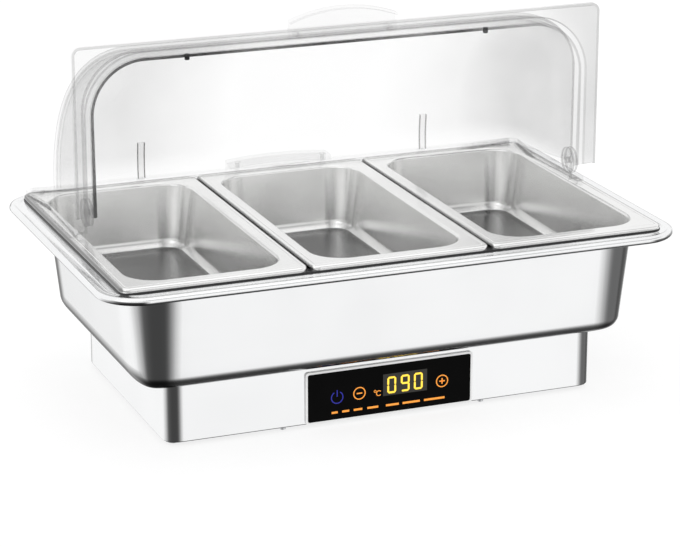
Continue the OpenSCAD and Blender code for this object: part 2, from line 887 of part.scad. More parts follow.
module inlet_screws() {
    color(zinc) at_inlet_screws(rear_y + inlet_flange[1]) rotate([180, 0, 0])
        screw(m3, inlet_flange[1] + sheet_t + bite, m3_head, m3_head_h);
}

module earth_stud() {
    color(zinc) translate([earth_x, earth_y, base_z]) cylinder(r = m4, h = earth_l);
}

module earth_nut() {
    color(zinc) translate([earth_x, earth_y, base_z]) nut(m4_nut, m4_nut_h, m4 + hole_gap);
}

module mains_wires() {
    start_y = blade_back_y - seat_gap;
    end = [terminal_x, terminal_y + terminal[1] / 2 + seat_gap, power_top + terminal[2] / 2];
    run = start_y - end[1];
    color(red) {
        for (i = [0, 2]) {
            from = [inlet_x + blade_xs[i], start_y, inlet_top + blade_zs[i]];
            to = end + [sign(blade_xs[i]) * terminal_pitch / 2, 0, 0];
            drop = to - from;
            wire([from, from + [0, -run / 4, 0], from + drop / 2, to + [0, run / 4, 0], to], wire_r);
        }
        from = [inlet_x + blade_xs[1], start_y, inlet_top + blade_zs[1]];
        to = [earth_x - m4_nut - wire_r, earth_y, base_z + earth_l - 2 * wire_r];
        wire([from, from + [0, -3 * wire_r, 0], from + [8 * wire_r, -5 * wire_r, -wire_r],
            to + [-8 * wire_r, 0, 4 * wire_r], to + [-2 * wire_r, 0, 0], to], wire_r);
    }
}

module heater_wires() {
    out_x = shield_x + sheet_t + 4 * wire_r;
    far_x = out_x + 6 * wire_r;
    start_x = terminal_end_x + seat_gap;
    end_x = terminal_x + terminal[0] / 2 + seat_gap;
    end_z = power_top + terminal[2] / 2;
    color(red) {
        wire([[start_x, heater_bend, heater_z], [out_x, heater_bend, heater_z],
            [far_x, heater_bend, heater_z - 6 * wire_r], [far_x, heater_bend, end_z + 8 * wire_r],
            [out_x, terminal_y + 2 * wire_r, end_z], [end_x, terminal_y + 2 * wire_r, end_z]], wire_r);
        wire([[start_x, -heater_bend, heater_z], [out_x, -heater_bend, heater_z],
            [far_x, -heater_bend + wire_r, heater_z - 6 * wire_r],
            [far_x, -heater_bend / 2, end_z + 8 * wire_r],
            [far_x, terminal_y - heater_bend / 2, end_z], [out_x, terminal_y - 2 * wire_r, end_z],
            [end_x, terminal_y - 2 * wire_r, end_z]], wire_r);
    }
}

module ribbon_cable() {
    start_y = board_y + board_t;
    edge_y = power_y - power_d / 2;
    high = power_top + ribbon_rise;
    color(white) translate([ribbon_x - ribbon_w / 2, 0, 0]) rotate([90, 0, 90]) linear_extrude(ribbon_w)
        polygon([[start_y, high], [(start_y + edge_y) / 2, high], [edge_y - ribbon_land, power_top],
            [edge_y + ribbon_land, power_top], [edge_y + ribbon_land, power_top + ribbon_t],
            [edge_y - ribbon_land, power_top + ribbon_t], [(start_y + edge_y) / 2, high + ribbon_t],
            [start_y, high + ribbon_t]]);
}

// One food pan, centred at a distance x along the dish
module food_pan(x) {
    color(satin) translate([x, 0, 0]) {
        translate([0, 0, pan_top - pan_h])
            tub(pan_open_l + 2 * pan_in, pan_open_d + 2 * pan_in, pan_wall_h, pan_draft,
                pan_corner, pan_fillet, pan_t);
        translate([0, 0, pan_top - pan_t]) linear_extrude(pan_t) difference() {
            rounded(pan_l, pan_d, pan_lip_corner);
            rounded(pan_open_l, pan_open_d, pan_corner - pan_in);
        }
        translate([0, 0, lip_z]) linear_extrude(lip_h - pan_t)
            rounded_ring(pan_l, pan_d, pan_lip_corner, pan_t);
    }
}

module food_pan_left() {
    food_pan(-pan_pitch);
}

module food_pan_middle() {
    food_pan(0);
}

module food_pan_right() {
    food_pan(pan_pitch);
}

// Half outline of a cover: X is the distance from the hinge axis, Y runs along the axis
module cover_outline(half_l, r, corner) {
    intersection() {
        rounded(2 * r, 2 * half_l, corner);
        translate([0, -half_l]) square([r, 2 * half_l]);
    }
}

// The same outline as a sheet of the cover's thickness
module cover_sheet(half_l, r, corner) {
    difference() {
        cover_outline(half_l, r, corner);
        cover_outline(half_l - cover_t, r - cover_t, corner - cover_t);
    }
}

// Half of the flange's outline, set in by inset
module flange_outline(inset) {
    intersection() {
        rounded(flange_l - 2 * inset, flange_d - 2 * inset, max(flange_corner - inset, least_corner));
        translate([-flange_l / 2, flange_gap]) square([flange_l, flange_d / 2]);
    }
}

// Turns a shape drawn about Z so that it stands about the hinge axis, from +Y up to +Z
module about_hinge(start) {
    rotate([0, 90, 0]) rotate(90 + start) children();
}

// One half of the cover about the hinge axis, with its flange on the +Y side
module half_cover(half_l, r, corner, lap, bore_r) {
    difference() {
        union() {
            about_hinge(0) rotate_extrude(angle = 90 + lap) cover_sheet(half_l, r, corner);
            translate([0, 0, flange_rise]) linear_extrude(-flange_rise) rotate(90)
                cover_sheet(half_l, r, corner);
            translate([0, 0, flange_rise - cover_t]) linear_extrude(cover_t) difference() {
                flange_outline(0);
                rotate(90) cover_outline(half_l - cover_t, r - cover_t, corner - cover_t);
            }
            translate([0, 0, -hinge_rise]) linear_extrude(flange_h - cover_t) difference() {
                flange_outline(0);
                flange_outline(cover_t);
            }
            for (m = [0, 1]) mirror([m, 0, 0]) translate([half_l - cover_t, 0, 0]) rotate([0, 90, 0])
                cylinder(r = boss_r, h = cover_t);
        }
        translate([-half_l - hair, 0, 0]) rotate([0, 90, 0]) cylinder(r = bore_r, h = 2 * (half_l + hair));
        handle_rivet_holes(flange_rise - cover_t, cover_t);
    }
}

// Holes for the handle's two rivets
module handle_rivet_holes(z, h) {
    for (s = [-1, 1]) translate([s * handle_rivet_x, handle_rivet_y, z]) hole(cover_rivet_r + hole_gap, h);
}

// Flat outline of a handle outside the flange
module handle_outline() {
    intersection() {
        translate([-handle_w / 2, flange_y]) square([handle_w, handle_out]);
        translate([0, flange_y + handle_out - handle_arc]) circle(handle_arc);
    }
}

// Bowed handle on the flange of a half cover, about the hinge axis
module handle() {
    top = flange_rise + handle_step;
    difference() {
        union() {
            translate([-handle_w / 2, handle_back, flange_rise])
                cube([handle_w, flange_y - handle_back, handle_step]);
            translate([0, 0, top - cover_t]) linear_extrude(cover_t) handle_outline();
            translate([0, 0, top - handle_h]) linear_extrude(handle_h - cover_t) difference() {
                handle_outline();
                translate([0, flange_y + handle_out - handle_arc]) circle(handle_arc - cover_t);
            }
        }
        handle_rivet_holes(flange_rise, handle_step);
    }
}

// The two rivets of a handle, about the hinge axis
module handle_rivets() {
    foot = flange_rise - cover_t;
    length = cover_t + handle_step;
    for (s = [-1, 1]) translate([s * handle_rivet_x, handle_rivet_y, foot]) {
        screw(cover_rivet_r, length, cover_rivet_head, cover_rivet_head_h);
        translate([0, 0, length]) cylinder(r = cover_rivet_head, h = cover_rivet_head_h);
    }
}

// Places a piece of the rear half
module in_rear() {
    translate([0, 0, hinge_z]) children();
}

// Places a piece of the front half, rolled back
module in_front() {
    translate([0, 0, hinge_z]) rotate([-90, 0, 0]) mirror([0, 1, 0]) children();
}

module rear_cover() {
    wall = cover_r - cover_t;
    foot = flange_rise - cover_t;
    color(clear) in_rear() {
        half_cover(rear_half_l, cover_r, cover_corner, 0, pin_r + hole_gap);
        for (s = [-1, 1]) translate([s * rib_x - rib_w / 2, wall - lug_in, foot])
            cube([rib_w, lug_in + root, lug_top - foot]);
    }
}

module front_cover() {
    wall = front_r - cover_t;
    color(clear) in_front() {
        half_cover(front_half_l, front_r, front_corner, lap_angle, pin_r + pin_gap);
        for (s = [-1, 1]) {
            translate([s * rib_x, 0, 0]) about_hinge(90 + lap_angle - rib_angle)
                rotate_extrude(angle = rib_angle)
                    translate([wall - rib_h, -rib_w / 2]) square([rib_h + root, rib_w]);
            translate([s * rib_x, wall - peg_l, -peg_drop]) rotate([-90, 0, 0])
                cylinder(r = peg_r, h = peg_l + root);
        }
    }
}

module rear_handle() {
    color(clear) in_rear() handle();
}

module rear_rivets() {
    color(clear) in_rear() handle_rivets();
}

module front_handle() {
    color(clear) in_front() handle();
}

module front_rivets() {
    color(clear) in_front() handle_rivets();
}

module hinge_pins() {
    color(clear) in_rear() for (m = [0, 1]) mirror([m, 0, 0]) rotate([0, 90, 0]) {
        translate([0, 0, cap_x]) cylinder(r = pin_r, h = rear_half_l + seat_gap - cap_x);
        translate([0, 0, rear_half_l + seat_gap]) cylinder(r = pin_head_r, h = pin_head_t);
    }
}

module hinge_caps() {
    color(clear) in_rear() for (m = [0, 1]) mirror([m, 0, 0]) translate([cap_x, 0, 0]) rotate([0, 90, 0])
        post(pin_head_r, pin_head_t, pin_r + hole_gap);
}

base_housing();
bottom_plate();
plate_screws();
rubber_feet();
foot_screws();
foot_nuts();
water_pan();
pan_studs();
pan_nuts();
pan_seal();
heat_spreader();
heater_tube();
heater_ends();
heater_clamps();
clamp_screws();
insulation_pad();
heat_shield();
shield_rivets();
thermal_cutout();
cutout_screws();
temperature_probe();
probe_clip();
probe_screw();
panel_bezel();
control_glass();
display_module();
bar_lights();
touch_springs();
control_board();
board_standoffs();
board_screws();
power_board();
power_standoffs();
power_screws();
power_relay();
transformer();
terminal_block();
power_inlet();
inlet_pins();
inlet_screws();
earth_stud();
earth_nut();
mains_wires();
heater_wires();
ribbon_cable();
food_pan_left();
food_pan_middle();
food_pan_right();
rear_cover();
rear_handle();
rear_rivets();
hinge_pins();
hinge_caps();
front_cover();
front_handle();
front_rivets();
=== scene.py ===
# %% [markdown]
# # Dressing an electric chafing dish
# The dish was first built as exact solids: a steel base, a water pan, three food pans and a clear
# roll-top cover. This lesson gives those solids the look of the real thing. The large shells are
# modelled afresh, because polished metal and clear plastic show every flat facet, and the small
# pieces keep their solids and only get a finish.

# %% Load the solids
import json
import math

import bmesh
import bpy
from mathutils import Matrix, Vector


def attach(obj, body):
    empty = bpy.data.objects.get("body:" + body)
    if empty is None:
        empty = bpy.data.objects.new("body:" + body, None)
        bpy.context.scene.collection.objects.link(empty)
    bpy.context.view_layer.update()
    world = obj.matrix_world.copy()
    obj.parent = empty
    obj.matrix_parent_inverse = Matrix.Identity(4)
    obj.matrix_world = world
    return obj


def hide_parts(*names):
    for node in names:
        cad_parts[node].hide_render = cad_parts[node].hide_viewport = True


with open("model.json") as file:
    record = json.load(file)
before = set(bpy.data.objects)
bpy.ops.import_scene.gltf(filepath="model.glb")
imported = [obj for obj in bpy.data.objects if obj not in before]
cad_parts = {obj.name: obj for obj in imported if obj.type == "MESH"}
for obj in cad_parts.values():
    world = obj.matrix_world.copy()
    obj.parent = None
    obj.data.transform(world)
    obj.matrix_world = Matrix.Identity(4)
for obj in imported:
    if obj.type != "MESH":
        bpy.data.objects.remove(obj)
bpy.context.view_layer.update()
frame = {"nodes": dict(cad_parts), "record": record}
nodes = frame["nodes"]
MM = 0.001

# %% [markdown]
# ## The camera
# The picture was taken from the front left, a little above the dish, with a long lens, which keeps
# the long edges almost parallel. The angles were found by matching the corners of the pans.

# %% Set the camera
CAMERA_AT = (-0.9101, -2.3036, 0.9029)
CAMERA_PITCH = 72.13
CAMERA_YAW = -21.64
CAMERA_LENS = 143.0
SENSOR_WIDTH = 36.0
FAR_CLIP = 50.0

bpy.ops.object.select_all(action="DESELECT")
bpy.ops.object.camera_add(
    location=CAMERA_AT,
    rotation=(math.radians(CAMERA_PITCH), 0.0, math.radians(CAMERA_YAW)),
)
camera = bpy.context.object
camera.name = "view"
camera.data.sensor_fit = "HORIZONTAL"
camera.data.sensor_width = SENSOR_WIDTH
camera.data.lens = CAMERA_LENS
camera.data.clip_end = FAR_CLIP
bpy.context.scene.camera = camera
print("camera at", CAMERA_AT)

# %% [markdown]
# ## Shader sums
# A finish is a small graph of nodes. Writing each node by hand is slow to read, so one class wraps an
# output socket: adding or multiplying wires adds the Math nodes, and `make` adds any other node.

# %% A wire in a shader graph
class Wire:
    """An output socket, so that shader maths reads as a plain sum."""

    def __init__(self, tree, socket):
        self.tree = tree
        self.socket = socket

    def make(self, kind, settings, inputs, output=0):
        """Add a node of a kind, with its settings first and then its sockets."""
        node = self.tree.nodes.new("ShaderNode" + kind)
        for name, value in settings.items():
            if name == "stops":
                ramp = node.color_ramp
                while len(ramp.elements) < len(value):
                    ramp.elements.new(1.0)
                for element, (place, shade) in zip(ramp.elements, value):
                    element.position = place
                    element.color = (*shade, 1.0)
            else:
                setattr(node, name, value)
        for name, value in inputs.items():
            if isinstance(value, Wire):
                self.tree.links.new(value.socket, node.inputs[name])
            else:
                node.inputs[name].default_value = value
        return Wire(self.tree, node.outputs[output])

    def sum(self, operation, first, second):
        """One Math node over two values or wires."""
        return self.make("Math", {"operation": operation}, {0: first, 1: second})

    def __add__(self, other):
        return self.sum("ADD", self, other)

    def __rsub__(self, other):
        return self.sum("SUBTRACT", other, self)

    def __mul__(self, other):
        return self.sum("MULTIPLY", self, other)

    __radd__ = __add__

    def step(self, low, high, to_low=0.0, to_high=1.0):
        """A smooth step from one value to another."""
        return self.make(
            "MapRange",
            {"interpolation_type": "SMOOTHSTEP"},
            {"Value": self, "From Min": low, "From Max": high, "To Min": to_low, "To Max": to_high},
        )

    def noise(self, scale, detail=2.0, stretch=(1.0, 1.0, 1.0)):
        """Noise over this vector, drawn out along an axis where stretch is small."""
        stretched = self.make("VectorMath", {"operation": "MULTIPLY"}, {0: self, 1: stretch})
        return self.make("TexNoise", {}, {"Vector": stretched, "Scale": scale, "Detail": detail})

    def blend(self, dark, light):
        """Mix two colours, or wires that carry colours, by this value."""
        ends = [end if isinstance(end, Wire) else (*end, 1.0) for end in (dark, light)]
        return self.make("Mix", {"data_type": "RGBA"}, {0: self, 6: ends[0], 7: ends[1]}, output=2)

    def part(self, index):
        """One axis of this vector."""
        return self.make("SeparateXYZ", {}, {0: self}, output=index)

    def bump(self, strength, distance):
        """A normal that is raised by this height."""
        return self.make("Bump", {}, {"Height": self, "Strength": strength, "Distance": distance})


def new_finish(name, values):
    """A material with fixed values on its shader; returns it, the shader and the object's coordinates."""
    material = bpy.data.materials.new(name)
    material.use_nodes = True
    tree = material.node_tree
    shader = tree.nodes["Principled BSDF"]
    for key, value in values.items():
        shader.inputs[key].default_value = value
    place = Wire(tree, tree.nodes.new("ShaderNodeTexCoord").outputs["Object"])
    return material, shader, place


def feed(shader, wires):
    """Link wires to a shader's sockets by name."""
    for key, wire in wires.items():
        wire.tree.links.new(wire.socket, shader.inputs[key])


print("shader helpers ready")

# %% [markdown]
# ## Studio light
# Polished steel has almost no colour of its own: it shows the room. Product pictures put a white wall
# before each flat side and leave dark gaps between the walls, and those gaps become the dark bands at
# the corners. The world below is such a room, painted by direction: a white ceiling, three white walls
# with soft ends, and a dark card hung high at the front right, which the floors of the food pans pick up.
# The gaps are only half dark, so that a flat side stays bright from most places round the dish. A wall is
# four compass headings in degrees: where it starts, where it is full, how far it stays full, and its end.

# %% The room round the dish
WALLS = [(-18, 14, 78, 106), (110, 136, 134, 160), (174, 193, 262, 324)]
GAP_LEVEL = 0.62
WALL_FOOT = (-1.0, -0.52)
CEILING = (-0.15, 0.22)
CARD = (-15, 5, 65, 85)
CARD_FOOT, CARD_TOP, CARD_SOFT = 0.38, 0.62, 0.12
CARD_DARK = 0.5
SEAM, FULL_TURN = -20.0, 360.0
ROOM_DARK, ROOM_WHITE = 0.04, 1.0

world = bpy.data.worlds.new("studio")
bpy.context.scene.world = world
world.use_nodes = True
room = world.node_tree
look = Wire(room, room.nodes.new("ShaderNodeTexCoord").outputs["Generated"])
east, north, up = (look.part(axis) for axis in range(3))
heading = look.sum("ARCTAN2", east, 0.0 - north) * math.degrees(1.0)
heading = heading + look.sum("LESS_THAN", heading, SEAM) * FULL_TURN


def sector(start, full, full_end, end):
    """One between two compass headings, with a soft rise and a soft fall."""
    return heading.step(start, full) * heading.step(full_end, end, 1.0, 0.0)


walls = sum((sector(*headings) for headings in WALLS), 0.0)
walls = look.sum("MAXIMUM", walls, GAP_LEVEL) * up.step(*WALL_FOOT)
bright = look.sum("MAXIMUM", walls, up.step(*CEILING))
hung = up.step(CARD_FOOT, CARD_FOOT + CARD_SOFT) * up.step(CARD_TOP, CARD_TOP + CARD_SOFT, 1.0, 0.0)
bright = bright * bright * (1.0 - sector(*CARD) * hung * CARD_DARK)
level = bright * (ROOM_WHITE - ROOM_DARK) + ROOM_DARK
back = room.nodes["Background"]
room.links.new(level.make("CombineColor", {}, {0: level, 1: level, 2: level}).socket, back.inputs["Color"])
print("room painted")

# %% [markdown]
# A pale floor carries the dish. It is left out of mirror reflections, so that the steel shows the
# walls of the room and not the floor right under it. Two large weak lamps add a soft shadow; each is
# given by its place, its size and its power.

# %% Floor and lights
FLOOR_SIZE, FLOOR_GLOW, FLOOR_GRAIN = 14.0, 0.80, 30.0
FLOOR_DARK, FLOOR_LIGHT = (0.25, 0.25, 0.25), (0.27, 0.27, 0.27)
WHITE = (1.0, 1.0, 1.0, 1.0)
LAMPS = {
    "top_lamp": ((0.0, -0.3, 2.4), 2.2, 3.0),
    "left_lamp": ((-2.2, -1.2, 1.6), 1.4, 2.0),
}

bpy.ops.object.select_all(action="DESELECT")
bpy.ops.mesh.primitive_plane_add(size=FLOOR_SIZE)
floor = bpy.context.object
floor.name = "floor"
floor.visible_glossy = False
paper, paper_shader, paper_place = new_finish("floor paper", {
    "Specular IOR Level": 0.0,
    "Roughness": 1.0,
    "Emission Color": WHITE,
    "Emission Strength": FLOOR_GLOW,
})
feed(paper_shader, {"Base Color": paper_place.noise(FLOOR_GRAIN).blend(FLOOR_DARK, FLOOR_LIGHT)})
floor.data.materials.append(paper)

for name, (spot, size, power) in LAMPS.items():
    bpy.ops.object.light_add(type="AREA", location=spot)
    lamp = bpy.context.object
    lamp.name = name
    lamp.data.size = size
    lamp.data.energy = power
    lamp.rotation_euler = (-Vector(spot)).to_track_quat("-Z", "Y").to_euler()
bpy.context.scene.view_settings.view_transform = "Standard"
print("lamps:", list(LAMPS))

# %% [markdown]
# ## Finishes
# Steel comes in two grades here: bright steel outside, satin steel inside the food pans. Both are full
# metal; what differs is how rough they are and how strongly the polishing lines show. The corners of a
# real pan look dark, because they mirror the far ends of the studio. Part of that darkness is painted
# reflection: a number stored on the mesh darkens the steel's colour where it is set. A mesh without it is
# bright all over. Sheet, zinc and milled aluminium inside the base come from the same helper with other
# numbers.

# %% Steel
STREAK_SCALE, STREAK_DETAIL = 160.0, 3.0
SMEAR_SCALE = 9.0
TONE_EDGES = (0.3, 0.7)
BUMP_DEPTH = 0.2 * MM
PAINTED_DARK_ATTRIBUTE = "dull"


def steel(name, dark, light, rough, spread, lines, line_bump, dim=1.0):
    """Metal with fine lines along one axis; its colour is darkened by painted dark reflection where the mesh
    marks it.
    """
    material, shader, place = new_finish(name, {"Metallic": 1.0})
    streaks = place.noise(STREAK_SCALE, STREAK_DETAIL, lines)
    smear = place.noise(SMEAR_SCALE)
    share = smear.step(*TONE_EDGES)
    # The number on the mesh paints dark reflection: it fades the colour towards the darker tone.
    unpainted = 1.0 - place.make("Attribute", {"attribute_name": PAINTED_DARK_ATTRIBUTE}, {}, output=2)
    painted_dark_tone = share.blend([part * dim for part in dark], [part * dim for part in light])
    feed(shader, {
        "Base Color": (unpainted * unpainted).blend(painted_dark_tone, share.blend(dark, light)),
        "Roughness": streaks * spread + smear * spread + (rough - spread),
        "Normal": streaks.bump(line_bump, BUMP_DEPTH),
    })
    return material


def mark_painted_dark(piece, measure):
    """Store on every point how strongly the steel's colour is painted dark there, from none to one."""
    layer = piece.data.attributes.new(PAINTED_DARK_ATTRIBUTE, "FLOAT", "POINT")
    layer.data.foreach_set("value", [measure(point) for point in piece.data.vertices])


# The last number of both bright grades sets how dark the painted dark reflection makes their colour.
bright_steel = steel(
    "bright steel", (0.90, 0.905, 0.91), (0.94, 0.945, 0.95), 0.17, 0.04, (0.05, 0.05, 3.0), 0.02, 0.14)
satin_steel = steel(
    "satin steel", (0.86, 0.86, 0.855), (0.92, 0.92, 0.915), 0.20, 0.04, (3.0, 3.0, 0.08), 0.012, 0.22)
plain_steel = steel(
    "plain sheet steel", (0.58, 0.59, 0.60), (0.68, 0.69, 0.70), 0.35, 0.10, (0.05, 2.0, 2.0), 0.08)
zinc = steel(
    "zinc plating", (0.55, 0.56, 0.58), (0.70, 0.71, 0.72), 0.32, 0.12, (1.0, 1.0, 1.0), 0.10)
milled_metal = steel(
    "milled aluminium", (0.70, 0.71, 0.72), (0.80, 0.81, 0.82), 0.38, 0.10, (0.06, 3.0, 3.0), 0.12)
print("steel grades ready")

# %% [markdown]
# Mouldings, rubber, boards and the like differ in colour and grain. One helper makes them all: two
# shades mixed by noise, a roughness that wanders a little, and a fine grain as bump.

# %% Mouldings, rubber and boards
GRAIN_DETAIL = 4.0
TONE_SCALE, TONE_DETAIL = 25.0, 3.0
ROUGH_SWING = 0.12


def moulding(name, dark, light, rough, grain_scale, grain_bump, extra=None):
    """A matt or glossy moulded surface with a fine grain."""
    material, shader, place = new_finish(name, extra or {})
    grain = place.noise(grain_scale, GRAIN_DETAIL)
    tone = place.noise(TONE_SCALE, TONE_DETAIL)
    feed(shader, {
        "Base Color": tone.step(*TONE_EDGES).blend(dark, light),
        "Roughness": grain * ROUGH_SWING + (rough - ROUGH_SWING / 2),
        "Normal": grain.bump(grain_bump, BUMP_DEPTH),
    })
    return material


rubber = moulding("black rubber", (0.012, 0.012, 0.012), (0.025, 0.025, 0.026), 0.62, 900.0, 0.25)
silicone = moulding("black silicone", (0.006, 0.006, 0.007), (0.014, 0.014, 0.015), 0.42, 700.0, 0.10)
black_plastic = moulding("black plastic", (0.014, 0.014, 0.015), (0.024, 0.024, 0.026), 0.45, 1200.0, 0.20)
white_plastic = moulding("white plastic", (0.84, 0.84, 0.84), (0.90, 0.90, 0.90), 0.25, 600.0, 0.04)
ceramic = moulding("white ceramic", (0.80, 0.78, 0.72), (0.88, 0.86, 0.81), 0.22, 400.0, 0.04)
fibre = moulding("mineral wool", (0.50, 0.44, 0.30), (0.66, 0.60, 0.45), 0.95, 260.0, 0.90)
board = moulding("circuit board", (0.010, 0.075, 0.030), (0.020, 0.120, 0.050), 0.30, 500.0, 0.05)
copper = moulding("bare copper", (0.55, 0.26, 0.14), (0.68, 0.36, 0.22), 0.30, 300.0, 0.05, {"Metallic": 1.0})
amber = moulding("amber lens", (0.80, 0.30, 0.03), (0.92, 0.42, 0.06), 0.20, 200.0, 0.03)
wire_red = moulding("wire cover", (0.28, 0.03, 0.02), (0.38, 0.05, 0.03), 0.48, 500.0, 0.08)
print("mouldings ready")

# %% [markdown]
# The cover is clear polycarbonate. Light passes through its faces, which turn grey where they slant away
# from the eye, and its cut edges look darker. A glass shader would bend the light as the real sheet does,
# but it needs many samples before it is clean. A see-through shader mixed with a little grey gloss comes
# close at once: the slant sets the outline, and a list of greys along the cover sets a trace of haze and
# paints shade where the cover looks greyer towards its ends. The grey of the cut edges is painted shade too.

# %% Clear sheet and black glass
COVER_REACH = 0.27
HAZE_FOOT = (0.178, 0.205)
HAZE_SCALE, HAZE_EDGES, HAZE_SWING = 11.0, (0.2, 0.8), (0.8, 1.2)
SHADE_SWING = 1.15
SLANT_BLEND = 0.35
CLEAR = (0.993, 0.993, 0.993, 1.0)
SHEET_VALUES = {"IOR": 1.49, "Roughness": 0.06, "Specular IOR Level": 0.2}


def grey(level):
    """An even grey."""
    return (level,) * 3


def clear_finish(name, shade, outline, haze_and_painted_shade, low=1.0):
    """Clear sheet, grey by outline where it slants, and by haze and painted shade at places (mm) along the
    cover.
    """
    material, shader, place = new_finish(name, SHEET_VALUES)
    tree = material.node_tree
    cloud = place.noise(HAZE_SCALE)
    feed(shader, {"Base Color": cloud.blend(grey(shade), grey(shade * SHADE_SWING))})
    slant = place.make("LayerWeight", {}, {"Blend": SLANT_BLEND}, output=1)
    steep = slant * slant * slant * slant
    along = place.part(0) * (0.5 / COVER_REACH) + 0.5
    stops = [(0.5 + 0.5 * at * MM / COVER_REACH, grey(level)) for at, level in haze_and_painted_shade]
    haze_and_shade = cloud.step(*HAZE_EDGES, *HAZE_SWING) * place.make("ValToRGB", {"stops": stops}, {0: along})
    share = steep * steep * outline + haze_and_shade * place.part(2).step(*HAZE_FOOT, low)
    through = place.make("BsdfTransparent", {}, {"Color": CLEAR})
    mixed = place.make("MixShader", {}, {0: share, 1: through, 2: Wire(tree, shader.outputs[0])})
    tree.links.new(mixed.socket, tree.nodes["Material Output"].inputs["Surface"])
    return material


# Greys along the sheet and the flange: a trace of haze with painted shade, greyer towards the ends.
SHEET_HAZE_AND_SHADE = [(-248, 0.02), (-235, 0.05), (-170, 0.07), (-60, 0.01), (100, 0.01), (190, 0.04), (240, 0.11)]
FLANGE_HAZE_AND_SHADE = [(-252, 0.06), (-200, 0.05), (200, 0.08), (252, 0.19)]
clear_sheet = clear_finish("clear sheet", 0.30, 0.65, SHEET_HAZE_AND_SHADE, 0.3)
flange_sheet = clear_finish("flange sheet", 0.34, 0.65, FLANGE_HAZE_AND_SHADE, 0.3)
handle_sheet = clear_finish("handle sheet", 0.30, 0.90, [(-250, 0.05), (250, 0.05)])
pale_edge = clear_finish("pale edge", 0.26, 0.60, [(-250, 0.35), (250, 0.35)])
# The dark edge is painted shade for the dark line of the front half, darkest up to 120 mm and paler at the
# right.
dark_edge = clear_finish("dark edge", 0.02, 0.20, [(120, 0.85), (220, 0.30)])

SHEETS_IN_LINE = 32
bpy.context.scene.cycles.transparent_max_bounces = SHEETS_IN_LINE

SMUDGE_SCALE, SMUDGE_DETAIL = 40.0, 3.0
SMUDGE_EDGES, SMUDGE_ROUGH = (0.4, 0.7), (0.04, 0.12)
GLASS_DARK, GLASS_LIGHT = grey(0.001), grey(0.003)
black_glass, glass_shader, glass_place = new_finish("black glass", {"IOR": 1.5, "Specular IOR Level": 0.03})
smudge = glass_place.noise(SMUDGE_SCALE, SMUDGE_DETAIL)
feed(glass_shader, {
    "Base Color": smudge.blend(GLASS_DARK, GLASS_LIGHT),
    "Roughness": smudge.step(*SMUDGE_EDGES, *SMUDGE_ROUGH),
})
print("clear sheet and black glass ready")

# %% [markdown]
# ## Modelling by insets
# Pressed pans are all made the same way: a flat sheet with rounded corners is pushed down in rings.
# The same works here. A plane gets its corners bevelled round, and its one face is then inset again
# and again, each time a little further in and a little lower, along a drawn section.

# %% Tools for pressed sheet
CORNER_STEPS = 20
EASE_REACH = 1.63
EASE_PROFILE = 0.673
ROUND_PROFILE = 0.5
HAIR = 0.005 * MM
LEVEL_SLACK = 0.02 * MM
WELD_REACH = 0.002 * MM
SMOOTH_ANGLE, FLAT_WEIGHT = 32.0, 80


def clear_selection():
    """Leave edit mode and deselect everything."""
    if bpy.context.mode != "OBJECT":
        bpy.ops.object.mode_set(mode="OBJECT")
    bpy.ops.object.select_all(action="DESELECT")


def pick(piece):
    """Select one piece alone and make it the active one."""
    clear_selection()
    piece.select_set(True)
    bpy.context.view_layer.objects.active = piece


def edit(piece, kind):
    """Open one piece in edit mode, with nothing selected."""
    pick(piece)
    bpy.ops.object.mode_set(mode="EDIT")
    bpy.ops.mesh.select_mode(type=kind)
    bpy.ops.mesh.select_all(action="DESELECT")
    return bmesh.from_edit_mesh(piece.data)


def new_plane():
    """Add a plane of one metre and leave it selected in edit mode."""
    clear_selection()
    bpy.ops.mesh.primitive_plane_add(size=1.0)
    bpy.ops.object.mode_set(mode="EDIT")
    bpy.ops.mesh.select_all(action="SELECT")
    return bpy.context.object


def new_disc(radius, steps):
    """Add a disc and leave its one face selected in edit mode."""
    clear_selection()
    bpy.ops.mesh.primitive_circle_add(vertices=steps, radius=radius, fill_type="NGON")
    bpy.ops.object.mode_set(mode="EDIT")
    bpy.ops.mesh.select_mode(type="FACE")
    bpy.ops.mesh.select_all(action="SELECT")
    return bpy.context.object


def new_ring(radius, width, steps):
    """Add a flat ring and leave it in edit mode."""
    piece = new_disc(radius, steps)
    bpy.ops.mesh.inset(thickness=width)
    bpy.ops.mesh.delete(type="FACE")
    return piece


def raise_all(height):
    """Extrude the whole of the edited mesh straight up."""
    bpy.ops.mesh.select_all(action="SELECT")
    bpy.ops.mesh.extrude_region_move(TRANSFORM_OT_translate={"value": (0.0, 0.0, height)})


def start_plate(name, length, depth, corner, height, eased=False):
    """Add a plate with round or eased corners and leave its one face selected in edit mode."""
    piece = new_plane()
    piece.name = piece.data.name = name
    bpy.ops.transform.resize(value=(length, depth, 1.0))
    reach, profile = (EASE_REACH * corner, EASE_PROFILE) if eased else (corner, ROUND_PROFILE)
    bpy.ops.mesh.bevel(offset=reach, segments=CORNER_STEPS, affect="VERTICES", profile=profile)
    bpy.ops.mesh.select_all(action="SELECT")
    bpy.ops.transform.translate(value=(0.0, 0.0, height))
    bpy.ops.mesh.select_mode(type="FACE")
    bpy.ops.mesh.select_all(action="SELECT")
    return piece


def arc(centre_in, centre_up, radius, first, last, steps=8):
    """Points of an arc in a section; 0 degrees points outward and 90 degrees up."""
    turns = [math.radians(first + (last - first) * i / steps) for i in range(steps + 1)]
    return [(centre_in - radius * math.cos(t), centre_up + radius * math.sin(t)) for t in turns]


def walk(section):
    """Carry the selected face along a section of (distance in, height) points."""
    for (in_a, up_a), (in_b, up_b) in zip(section, section[1:]):
        bpy.ops.mesh.inset(thickness=max(in_b - in_a, HAIR), depth=up_b - up_a)


